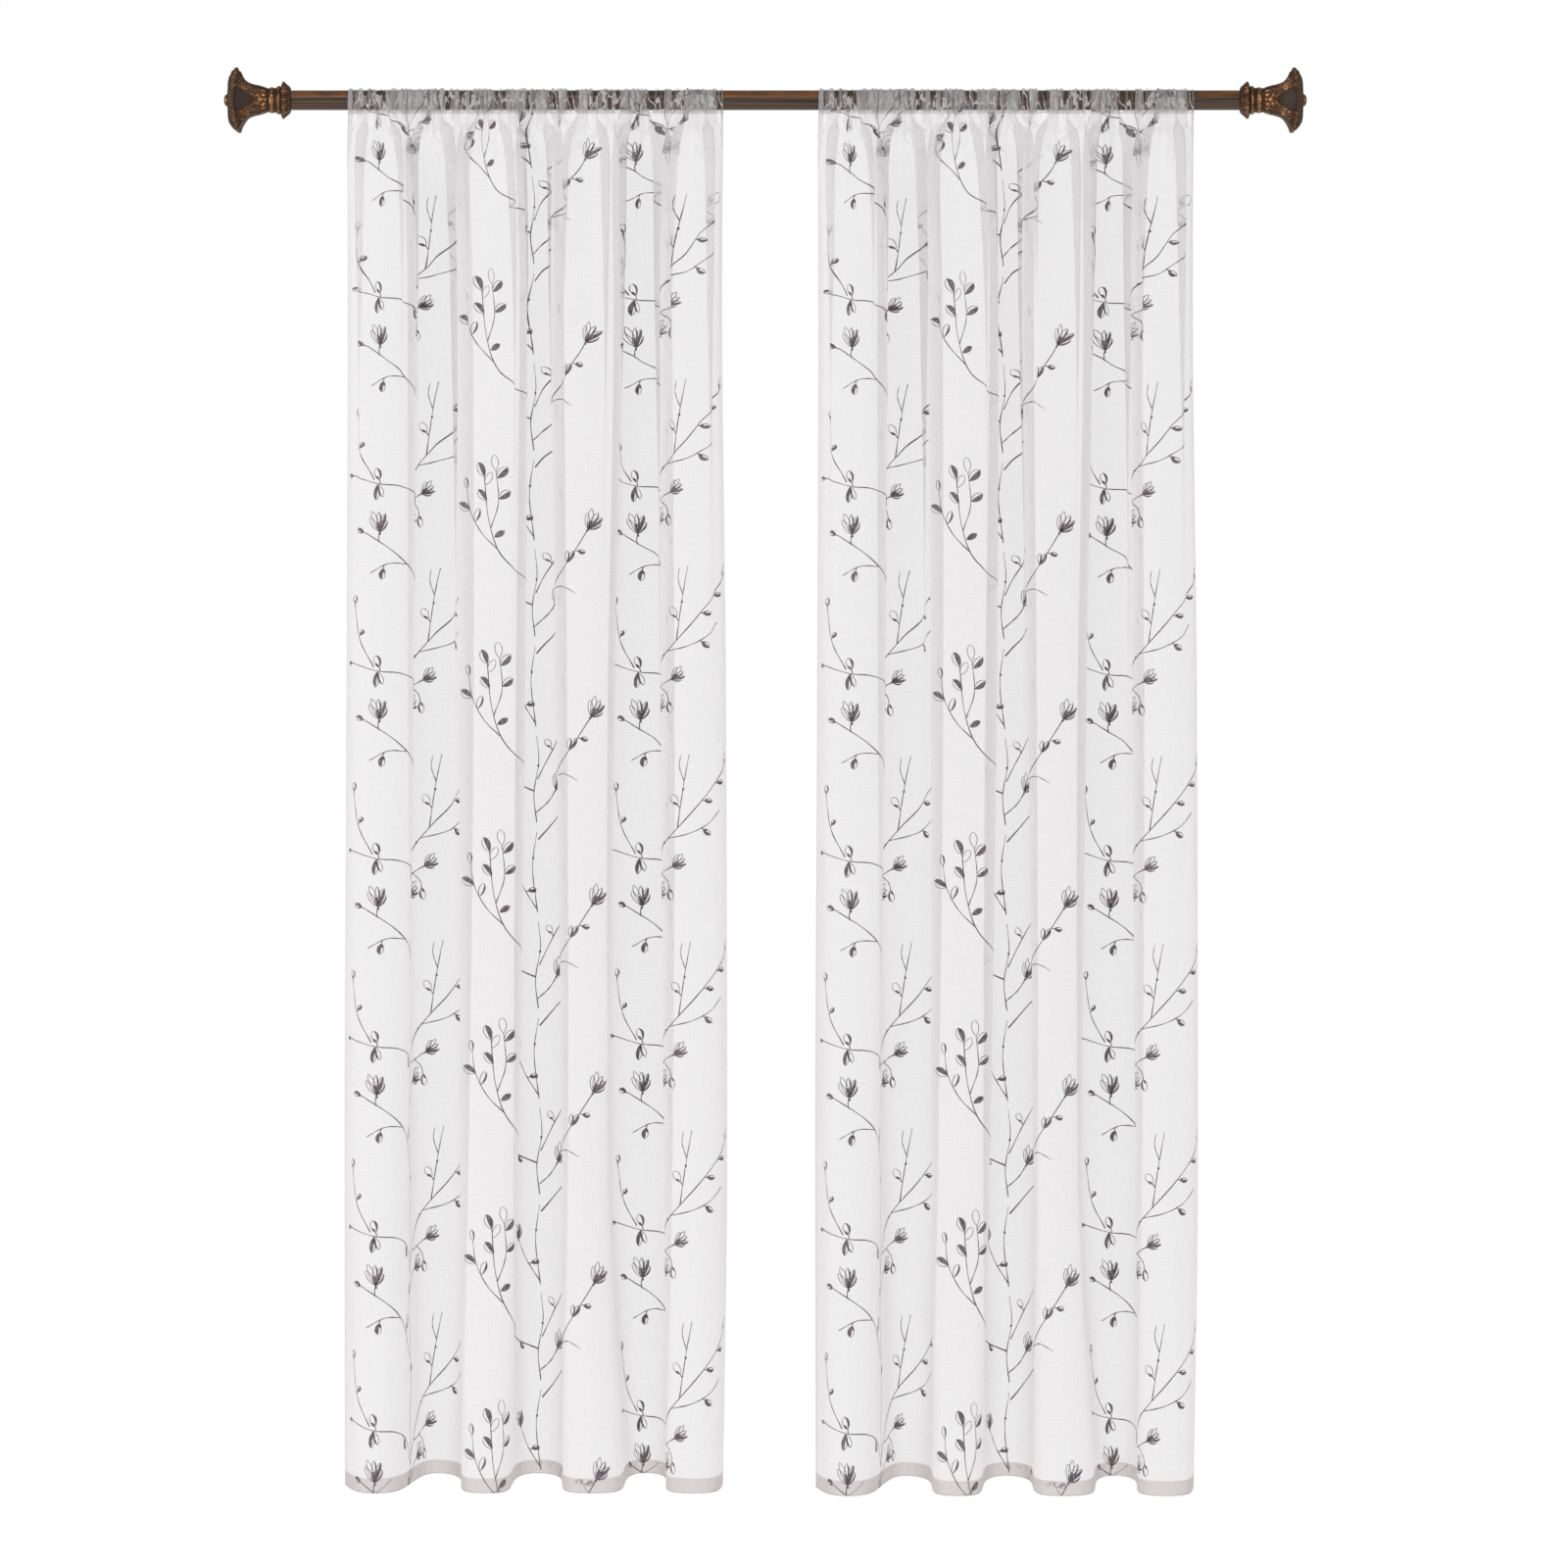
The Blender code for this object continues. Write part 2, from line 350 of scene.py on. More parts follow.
@dataclass(frozen=True)
class FinialBronze:
    """Cast resin in antique bronze: near black in the hollows, worn to copper on what stands out, with fine
    copper flecks painted as glints.
    """

    hollow: str = "#2a221d"
    brown: str = "#432f20"
    copper: str = "#b37a4a"
    mottle_mm: float = 1.5
    mottle_wear: Pair = (-0.3, 0.4)
    roughness: float = 0.24

    def material(self) -> Material:
        """Make the finials' material, worn to copper where the mesh's raised value says so, with painted
        glints scattered by fine noise.
        """
        material, tree = new_material("rubbed_antique_bronze")
        mottle = tree.grain(tree.place(), (self.mottle_mm,) * 3, 4.0)
        # Painted glints: fine noise adds copper flecks on top of the worn copper from the mesh
        wear_and_glints = tree.maths("ADD", tree.value("raised"), tree.ranged(mottle, 0.34, 0.66, *self.mottle_wear))
        base = tree.mixed(tree.ranged(wear_and_glints, 0.0, 0.45), self.hollow, self.brown)
        metal = {
            "Base Color": tree.mixed(tree.ranged(wear_and_glints, 0.5, 1.05), base, self.copper),
            "Metallic": tree.ranged(wear_and_glints, 0.1, 0.7, 0.25, 0.95),
            "Roughness": tree.ranged(wear_and_glints, 0.0, 1.0, self.roughness + 0.3, self.roughness),
            "Specular IOR Level": 0.2,
            "Normal": tree.bump(mottle, 0.2, 0.2),
        }
        tree.show(tree.shader("Principled", metal))
        return material


def table_column(rows: Sequence[Any], name: str) -> np.ndarray:
    """Read one named column of a table of dataclass rows."""
    return np.array([getattr(row, name) for row in rows], dtype=float)


def eased(at: np.ndarray, places: np.ndarray, values: np.ndarray) -> np.ndarray:
    """Read a smooth curve through table values, with no overshoot between them.

    Args:
        at: Where the curve is read.
        places: Where its values are given, in rising order.
        values: The values there.

    Returns:
        The curve's values at those places, the end values beyond its ends.
    """
    steps = np.diff(places)
    rises = np.diff(values) / steps
    slopes = np.zeros_like(values)
    same_way = rises[:-1] * rises[1:] > 0
    middle = 2 * rises[:-1] * rises[1:] / np.where(same_way, rises[:-1] + rises[1:], 1.0)
    slopes[1:-1] = np.where(same_way, middle, 0.0)
    slopes[0], slopes[-1] = rises[0], rises[-1]
    held = np.clip(at, places[0], places[-1])
    cell = np.clip(np.searchsorted(places, held, side="right") - 1, 0, len(steps) - 1)
    run = (held - places[cell]) / steps[cell]
    start = values[cell] * (1 + 2 * run) * (1 - run) ** 2 + values[cell + 1] * run**2 * (3 - 2 * run)
    bend = steps[cell] * (slopes[cell] * run * (1 - run) ** 2 - slopes[cell + 1] * run**2 * (1 - run))
    return start + bend


def grid_faces(rows: int, columns: int, closed: bool = False) -> np.ndarray:
    """Quads over a grid of points that are numbered row by row.

    Args:
        rows: How many rows of points there are.
        columns: How many points are in a row.
        closed: Whether the last column joins the first.

    Returns:
        One row of four point numbers for each quad.
    """
    steps = columns if closed else columns - 1
    row, column = np.meshgrid(np.arange(rows - 1), np.arange(steps), indexing="ij")
    following = (column + 1) % columns
    corners = (row * columns + column, (row + 1) * columns + column,
               (row + 1) * columns + following, row * columns + following)
    return np.stack([corner.ravel() for corner in corners], axis=1)


def linked(name: str, content: Any) -> Piece:
    """Make an object of a mesh, a light or a camera.

    Args:
        name: The object's name.
        content: Its data.

    Returns:
        The object, at the origin and linked to the scene.
    """
    piece = bpy.data.objects.new(name, content)
    bpy.context.scene.collection.objects.link(piece)
    return piece


def mesh_object(
    name: str, points: np.ndarray, faces: Sequence[Sequence[int]], finish: Material | None = None
) -> Piece:
    """Make a smooth-shaded mesh object.

    Args:
        name: The piece's name.
        points: Its points in metres.
        faces: Point numbers of each face.
        finish: Its material, if it already has one.

    Returns:
        The object.
    """
    mesh = bpy.data.meshes.new(name)
    mesh.from_pydata([tuple(point) for point in points], [], [tuple(int(i) for i in face) for face in faces])
    mesh.shade_smooth()
    if finish is not None:
        mesh.materials.append(finish)
    return linked(name, mesh)


def piece_from(bm: bmesh.types.BMesh, name: str, finish: Material) -> Piece:
    """Make a smooth-shaded object of a finished bmesh, and free the bmesh.

    Args:
        bm: The mesh as it was worked.
        name: The piece's name.
        finish: Its material.

    Returns:
        The object.
    """
    mesh = bpy.data.meshes.new(name)
    bm.to_mesh(mesh)
    bm.free()
    mesh.shade_smooth()
    mesh.materials.append(finish)
    return linked(name, mesh)


def joined(name: str, pieces: Sequence[Piece], finish: Material) -> Piece:
    """Make several meshes one piece of one finish.

    Args:
        name: The one piece's name.
        pieces: What is joined, all at the origin.
        finish: Its material.

    Returns:
        The joined piece.
    """
    bm = bmesh.new()
    for piece in pieces:
        bm.from_mesh(piece.data)
        bpy.data.objects.remove(piece, do_unlink=True)
    for face in bm.faces:
        face.material_index = 0
    return piece_from(bm, name, finish)


def store_value(piece: Piece, name: str, values: np.ndarray) -> None:
    """Keep one number or one vector for each point of a mesh.

    Args:
        piece: The object whose mesh keeps them.
        name: The attribute's name.
        values: One number, or one row of three, for each point.
    """
    vector = values.ndim == 2
    attribute = piece.data.attributes.new(name, "FLOAT_VECTOR" if vector else "FLOAT", "POINT")
    attribute.data.foreach_set("vector" if vector else "value", values.astype(np.float32).ravel())


def unit(vectors: np.ndarray) -> np.ndarray:
    """Scale vectors to a length of 1."""
    return vectors / np.maximum(np.linalg.norm(vectors, axis=-1, keepdims=True), 1e-12)


def settle(piece: Piece, slot: Slot, *nodes: str) -> Piece:
    """Tie a finished piece to the part: it rides with the one body, and the solids that it stands for are
    hidden.

    Args:
        piece: The finished piece.
        slot: The record's slot whose finish it has; not used.
        *nodes: The solids that it stands for.

    Returns:
        The same piece.
    """
    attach(piece, "root")
    if nodes:
        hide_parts(*nodes)
    triangles = sum(len(face.vertices) - 2 for face in piece.data.polygons)
    LOG.info("%s: %d triangles", piece.name, triangles)
    return piece


@dataclass(frozen=True)
class Rod:
    """The round curtain rod, one tube from finial to finial."""

    diameter: float = 30 * MM
    length: float = 1437 * MM
    sides: int = 96
    edge: float = 0.6 * MM
    sharp_degrees: float = 40.0

    def build(self, finish: Material) -> Piece:
        """Turn the tube with its eased ends.

        Args:
            finish: The rod's material.

        Returns:
            The rod.
        """
        bm = bmesh.new()
        radius = self.diameter / 2
        bmesh.ops.create_cone(
            bm, cap_ends=True, segments=self.sides, radius1=radius, radius2=radius, depth=self.length
        )
        rims = [edge for edge in bm.edges if abs(edge.verts[0].co.z - edge.verts[1].co.z) < self.edge]
        bmesh.ops.bevel(bm, geom=rims, offset=self.edge, segments=2, affect="EDGES")
        for vertex in bm.verts:
            vertex.co = (vertex.co.z, vertex.co.y, -vertex.co.x)
        rod = piece_from(bm, "curtain_rod", finish)
        rod.data.set_sharp_from_angle(angle=math.radians(self.sharp_degrees))
        return settle(rod, Slot.ROD, "rod")


@dataclass(frozen=True)
class Station:
    """One section of the finial: its place and half size in mm, its shine (worn copper, and on the beads'
    crests a painted highlight), and how square it is.

    The leaf tips stand out by leaf mm. The middle of each side is drawn in by a share of the half size,
    and lies bow mm further out.
    """

    along: float
    half_size: float
    shine: float = 0.25
    square: float = 0.0
    leaf: float = 0.0
    drawn_in: float = 0.0
    bow: float = 0.0


FINIAL_STATIONS = (
    Station(0.0, 12.0, 0.25),
    Station(0.0, 17.6, 0.25),
    Station(0.8, 19.0, 0.3),
    Station(2.6, 21.2, 0.4, 0.0, 0.3),
    Station(4.0, 21.6, 0.1, 0.0, 0.6),
    Station(5.4, 22.6, 0.25, 0.0, 1.0),
    Station(8.4, 24.2, 0.4, 0.0, 1.8),
    Station(11.8, 26.2, 0.5, 0.0, 2.3),
    Station(14.2, 23.6, 0.2, 0.0, 1.4),
    Station(15.6, 20.6, 0.0, 0.0, 0.3),
    Station(16.8, 21.2, 0.45),
    Station(18.4, 22.0, 0.75),
    Station(20.2, 21.2, 0.45),
    Station(21.8, 19.4, 0.1),
    Station(23.8, 18.5, 0.0),
    Station(25.4, 18.8, 0.15),
    Station(27.2, 19.5, 0.6),
    Station(29.2, 19.9, 0.85),
    Station(31.2, 19.4, 0.6),
    Station(33.4, 18.1, 0.05, 0.1),
    Station(37.0, 18.3, 0.12, 0.25),
    Station(46.0, 20.8, 0.15, 0.5, 0.0, 0.0, 0.5),
    Station(56.0, 23.4, 0.15, 0.7, 0.0, 0.02, 1.5),
    Station(64.0, 27.2, 0.18, 0.8, 0.0, 0.05, 3.0),
    Station(71.5, 36.0, 0.15, 0.9, 0.0, 0.12, 5.0),
    Station(76.0, 43.6, 0.15, 1.0, 0.0, 0.19, 6.5),
    Station(78.2, 49.4, 0.2, 1.0, 0.0, 0.22, 7.0),
    Station(79.4, 50.4, 0.3, 1.0, 0.0, 0.22, 7.0),
    Station(81.0, 49.8, 0.2, 1.0, 0.0, 0.22, 6.8),
    Station(84.0, 47.2, 0.15, 0.95, 0.0, 0.19, 5.8),
    Station(89.0, 39.4, 0.15, 0.7, 0.0, 0.11, 3.5),
    Station(93.0, 29.6, 0.15, 0.4, 0.0, 0.04, 1.2),
    Station(95.6, 18.5, 0.1, 0.2),
    Station(96.0, 11.0, 0.05),
    Station(96.6, 9.6, 0.3),
    Station(98.6, 8.6, 0.7),
    Station(100.6, 6.2, 0.9),
    Station(101.4, 2.6, 0.9),
    Station(101.5, 0.05, 0.9),
)


@dataclass(frozen=True)
class Leaf:
    """One raised leaf on a finial's face: middle along and across in mm, turn in degrees, and half sizes."""

    along: float
    across: float
    turn: float
    length: float
    width: float
    height: float = 1.2


@dataclass(frozen=True)
class Finial:
    """A square-flared trumpet finial with a leaf collar, two beads, carved faces and a domed end."""

    side: Side
    start: float = 718.8 * MM
    around: int = 208
    profile_steps: int = 190
    leaf_tips: int = 8
    squarest_power: float = 9.0
    flare_start: float = 38.0
    flare_end: float = 82.0
    carved_to: float = 84.0
    panel_apex: float = 55.0
    panel_base: float = 79.0
    panel_end: float = 80.0
    panel_half_width: float = 21.0
    scale_pitch: float = 6.2
    scale_height: float = 0.9
    rim_beads: int = 48
    dome_petals: int = 16

    def leaves(self) -> list[Leaf]:
        """The carved leaves of one face: a pair up each edge of its smooth panel, and a spray at the neck."""
        found = [Leaf(39.5, 0.0, 0.0, 3.2, 2.4), Leaf(46.5, 0.0, 0.0, 5.2, 2.8, 1.4)]
        for way in (-1, 1):
            found.append(Leaf(41.5, way * 7.0, way * 24.0, 4.2, 2.6))
            found.append(Leaf(41.0, way * 14.5, way * 12.0, 4.0, 2.4))
            found.append(Leaf(50.0, way * 6.4, way * 36.0, 4.4, 2.2))
            for step in range(6):
                along = 47.5 + 5.9 * step + 0.9 * math.sin(2.6 * step)
                reach = self.panel_edge(np.array(along)) + 3.9 + 1.1 * math.sin(1.9 * step + 0.5)
                turn = 30.0 + 34.0 * math.sin(2.2 * step + 0.4)
                size = 3.6 + 0.9 * math.sin(3.1 * step)
                found.append(Leaf(along, way * float(reach), way * turn, size, 0.45 * size, 1.0))
        return found

    def panel_edge(self, along: np.ndarray) -> np.ndarray:
        """Half the width in mm of a face's smooth three-sided panel.

        Args:
            along: Places along the finial in mm.

        Returns:
            The panel's half width there, 0 short of its point.
        """
        share = np.clip((along - self.panel_apex) / (self.panel_base - self.panel_apex), 0.0, 1.0)
        return self.panel_half_width * share**0.75

    def off_panel(self, along: np.ndarray, across: np.ndarray) -> np.ndarray:
        """How far each point is off its face's smooth panel.

        Args:
            along: Places along the finial in mm.
            across: Places across the face in mm.

        Returns:
            0 on the panel, 1 off it, and between them at its soft edge.
        """
        edge = self.panel_edge(along)
        return np.where(edge > 1.0, np.clip((np.abs(across) - edge + 1.5) / 4.5, 0.0, 1.0), 1.0)

    def relief(
        self, along: np.ndarray, half: np.ndarray, face_share: np.ndarray, angle: np.ndarray
    ) -> np.ndarray:
        """Height in mm of what is carved on the finial.

        Args:
            along: Place along the finial of each point, in mm.
            half: Half size of each point's section, in mm.
            face_share: Place across its face, from -1 to 1.
            angle: Angle round the axis.

        Returns:
            How far each point stands out.
        """
        across = face_share * half
        height = np.zeros_like(across)
        for leaf in self.leaves():
            turn = math.radians(leaf.turn)
            run = (along - leaf.along) * math.cos(turn) + (across - leaf.across) * math.sin(turn)
            off = (across - leaf.across) * math.cos(turn) - (along - leaf.along) * math.sin(turn)
            inside = np.clip(1 - (run / leaf.length) ** 2 - (off / leaf.width) ** 2, 0.0, None)
            rib = 0.35 * np.exp(-((off / 0.45) ** 2))
            height = np.maximum(height, leaf.height * (np.sqrt(inside) - rib * (inside > 0.05)))
        on_flare = (along > self.flare_start) & (along < self.flare_end)
        turn = 2 * math.pi / self.scale_pitch
        lengthwise = along + 1.1 * np.sin(0.83 * across + 1.7)
        crosswise = across + 1.3 * np.sin(0.71 * along + 0.3 * across)
        one_way, other_way = 0.8 * lengthwise + crosswise, 0.8 * lengthwise - crosswise
        curls = np.abs(np.sin(turn * one_way) * np.sin(turn * other_way))
        scales = self.scale_height * curls**0.8 * on_flare
        height = np.maximum(height, scales) * self.off_panel(along, across)
        corner = np.exp(-(((1 - np.abs(face_share)) * half / 1.5) ** 2))
        height = np.where(on_flare, np.maximum(height, 0.45 * corner), height * (along < self.carved_to))
        rim = np.exp(-(((along - 85.5) / 1.7) ** 2)) * (0.55 + 0.45 * np.cos(self.rim_beads * angle))
        petal = np.clip(np.cos(self.dome_petals * angle), -0.2, 1.0)
        dome = petal * np.clip((along - 87.5) / 2.0, 0, 1) * np.clip((95.3 - along) / 1.2, 0, 1)
        flute = 0.35 * np.cos(4 * self.leaf_tips * angle) * np.exp(-(((along - 9.5) / 3.0) ** 2))
        return height + 0.9 * rim + 0.9 * dome + flute

    def build(self, finish: Material) -> Piece:
        """Loft the sections, carve them and cap the finial's seat.

        Args:
            finish: The finials' material.

        Returns:
            The finial.
        """
        alongs = table_column(FINIAL_STATIONS, "along")
        halves = table_column(FINIAL_STATIONS, "half_size")
        path = np.concatenate([[0.0], np.cumsum(np.hypot(np.diff(alongs), np.diff(halves)))])
        reads = np.linspace(0.0, path[-1], self.profile_steps)
        columns = {item.name: eased(reads, path, table_column(FINIAL_STATIONS, item.name))[:, None]
                   for item in fields(Station)}
        angle = np.linspace(0.0, 2 * math.pi, self.around, endpoint=False)[None, :]
        power = 2.0 + (self.squarest_power - 2.0) * columns["square"]
        spread = np.abs(np.cos(angle)) ** power + np.abs(np.sin(angle)) ** power
        face_angle = (angle + math.pi / 4) % (math.pi / 2) - math.pi / 4
        face_share = np.tan(face_angle) * np.ones_like(spread)
        middle = 1 - face_share**2
        reach = columns["half_size"] * spread ** (-1.0 / power) * (1 - columns["drawn_in"] * middle)
        reach = reach + columns["leaf"] * np.cos(self.leaf_tips * angle)
        along = columns["along"] + columns["bow"] * middle
        points = np.stack([along, reach * np.cos(angle), reach * np.sin(angle)], axis=-1)
        down = np.gradient(points, axis=0)
        round_way = np.roll(points, -1, axis=1) - np.roll(points, 1, axis=1)
        normal = unit(np.cross(round_way, down))
        raised = self.relief(columns["along"] * np.ones_like(reach), columns["half_size"], face_share,
                             angle * np.ones_like(reach))
        points = points + normal * raised[..., None]
        points[..., 0] = np.clip(points[..., 0], 0.0, None)
        plain = 1 - self.off_panel(columns["along"], columns["half_size"] * face_share)
        plain = plain * (columns["along"] < self.panel_end)
        # Copper on the relief's peaks and by station: partly worn metal, and partly painted glints on the
        # peaks and a painted highlight along the beads' crests
        shine = np.clip(0.62 * np.clip(raised, 0, 1.1) ** 2 + columns["shine"] - 0.16 * plain, -0.2, 1.2)
        return self.dress(points, shine, finish)

    def dress(self, points: np.ndarray, shine: np.ndarray, finish: Material) -> Piece:
        """Make the carved sections one closed mesh on its end of the rod.

        Args:
            points: Points in mm, one row for each section.
            shine: How far each point is worn bright, with painted glints on the relief's peaks and a painted
                highlight on the beads' crests.
            finish: The finials' material.

        Returns:
            The finial.
        """
        placed = points.reshape(-1, 3) * MM
        placed[:, 0] = self.side.value * (placed[:, 0] + self.start)
        faces = grid_faces(self.profile_steps, self.around, closed=True).tolist()
        last = (self.profile_steps - 1) * self.around
        faces.append(list(range(self.around)))
        faces.append(list(range(last, last + self.around)))
        name = f"finial_{self.side.name.lower()}_carved"
        finial = mesh_object(name, placed, faces, finish)
        # The value called raised holds this worn copper, with its painted glints and bead highlights
        store_value(finial, "raised", shine.ravel())
        bm = bmesh.new()
        bm.from_mesh(finial.data)
        bmesh.ops.recalc_face_normals(bm, faces=bm.faces)
        bm.to_mesh(finial.data)
        bm.free()
        return settle(finial, Slot.FINIAL, f"finial_{self.side.name.lower()}")


@dataclass(frozen=True)
class WallRow:
    """One value for each wall between a panel's folds, its two edges included, at one drop in mm."""

    drop: float
    walls: tuple[float, ...]


@dataclass(frozen=True)
class ReliefRow:
    """How far the folds and the small pleats reach out of the sheet's plane, in mm, at one drop."""

    drop: float
    fold: float
    pleat: float


@dataclass(frozen=True)
class Crease:
    """A soft ridge (towards the viewer) or trough: its upper and lower end in folds and mm of drop."""

    turn_top: float
    drop_top: float
    turn_low: float
    drop_low: float
    rise: float
    width: float


# Where the walls stand, in mm from the panel's left edge
FOLD_ROWS = (
    WallRow(0, (0, 92, 172, 256, 322, 406, 486, 571)),
    WallRow(300, (1, 98, 179, 266, 321, 409, 484, 568)),
    WallRow(900, (-1, 97, 181, 262, 326, 401, 486, 574)),
    WallRow(1600, (-4, 95, 178, 256, 330, 397, 487, 576)),
    WallRow(2100, (-4, 97, 173, 251, 326, 421, 484, 570)),
)
# How far each wall leans over itself: 0 is a plain wave, over 1 overhangs
LEAN_ROWS = (
    WallRow(23, (0.2, 0.3, 0.3, 0.3, 0.3, 0.3, 0.3, 0.2)),
    WallRow(60, (0.5, 1.5, 1.7, 1.4, 1.8, 1.5, 1.7, 0.5)),
    WallRow(110, (0.8, 1.8, 2.1, 1.7, 2.2, 1.7, 2.0, 0.8)),
    WallRow(300, (0.8, 1.8, 2.2, 1.8, 2.2, 1.7, 2.1, 1.0)),
    WallRow(900, (0.7, 1.6, 2.1, 2.0, 2.0, 1.7, 2.1, 1.0)),
    WallRow(1600, (0.5, 0.8, 1.7, 1.6, 1.6, 1.3, 1.7, 0.9)),
    WallRow(1950, (0.3, 0.4, 1.2, 1.0, 1.2, 1.0, 1.3, 0.8)),
    WallRow(2100, (0.2, 0.2, 0.9, 0.7, 0.9, 0.8, 1.1, 0.7)),
)
RELIEF_ROWS = (
    ReliefRow(23, 0.6, 2.0),
    ReliefRow(60, 5, 5.0),
    ReliefRow(110, 14, 6.0),
    ReliefRow(180, 27, 4.5),
    ReliefRow(300, 42, 3.0),
    ReliefRow(520, 54, 2.0),
    ReliefRow(900, 62, 1.5),
    ReliefRow(1500, 69, 1.0),
    ReliefRow(2100, 74, 0.6),
)
CREASES = (
    Crease(0.28, 30, 0.34, 420, 3.0, 9.0),
    Crease(0.55, 24, 0.72, 260, 4.0, 8.0),
    Crease(0.42, 900, 0.30, 1800, 2.5, 16.0),
    Crease(1.35, 26, 1.38, 700, -4.0, 12.0),
    Crease(1.62, 26, 1.60, 640, 3.5, 10.0),
    Crease(1.48, 1300, 1.55, 2060, 3.0, 18.0),
    Crease(2.22, 26, 2.30, 380, 3.5, 8.0),
    Crease(2.75, 40, 2.66, 900, -3.0, 12.0),
    Crease(2.30, 1000, 2.42, 2000, 2.5, 15.0),
    Crease(3.30, 26, 3.42, 520, 4.0, 9.0),
    Crease(3.70, 26, 3.62, 430, -3.5, 9.0),
    Crease(3.52, 1150, 3.45, 1980, -3.0, 16.0),
    Crease(4.25, 30, 4.34, 620, 3.5, 10.0),
    Crease(4.62, 26, 4.55, 330, 4.0, 8.0),
    Crease(4.40, 1400, 4.56, 2080, 3.0, 18.0),
    Crease(5.35, 26, 5.42, 560, 3.5, 9.0),
    Crease(5.66, 60, 5.60, 1200, -3.0, 14.0),
    Crease(6.30, 26, 6.36, 700, 3.5, 10.0),
    Crease(6.66, 200, 6.58, 1500, -2.5, 14.0),
    Crease(6.45, 1500, 6.60, 2070, 3.0, 18.0),
)


@dataclass(frozen=True)
class Tuck:
    """A small fold that laps over itself below the pocket and opens lower down."""

    turn: float
    spread: float
    lap: float
    rise: float
    drop_low: float


TUCKS = (
    Tuck(0.34, 0.24, 13.0, 3.5, 420),
    Tuck(0.66, 0.22, 12.0, -3.0, 300),
    Tuck(1.34, 0.24, 12.0, 3.0, 360),
    Tuck(1.60, 0.30, 18.0, -4.0, 760),
    Tuck(2.34, 0.24, 12.0, 3.0, 300),
    Tuck(2.64, 0.24, 13.0, -3.0, 460),
    Tuck(3.32, 0.24, 13.0, 3.0, 400),
    Tuck(3.62, 0.28, 16.0, -3.5, 620),
    Tuck(4.36, 0.24, 12.0, 3.0, 340),
    Tuck(4.62, 0.24, 14.0, -3.5, 500),
    Tuck(5.34, 0.26, 14.0, 3.5, 430),
    Tuck(5.62, 0.28, 16.0, -3.0, 660),
    Tuck(6.34, 0.24, 13.0, 3.0, 360),
    Tuck(6.64, 0.24, 13.0, -3.0, 540),
)


@dataclass(frozen=True)
class HungCloth:
    """A panel's hung cloth, and where its hems begin and how large it is on its flat map, in metres."""

    panel: "VoilePanel"
    piece: Piece
    side_start: float
    hem_edge: float
    width: float
    length: float


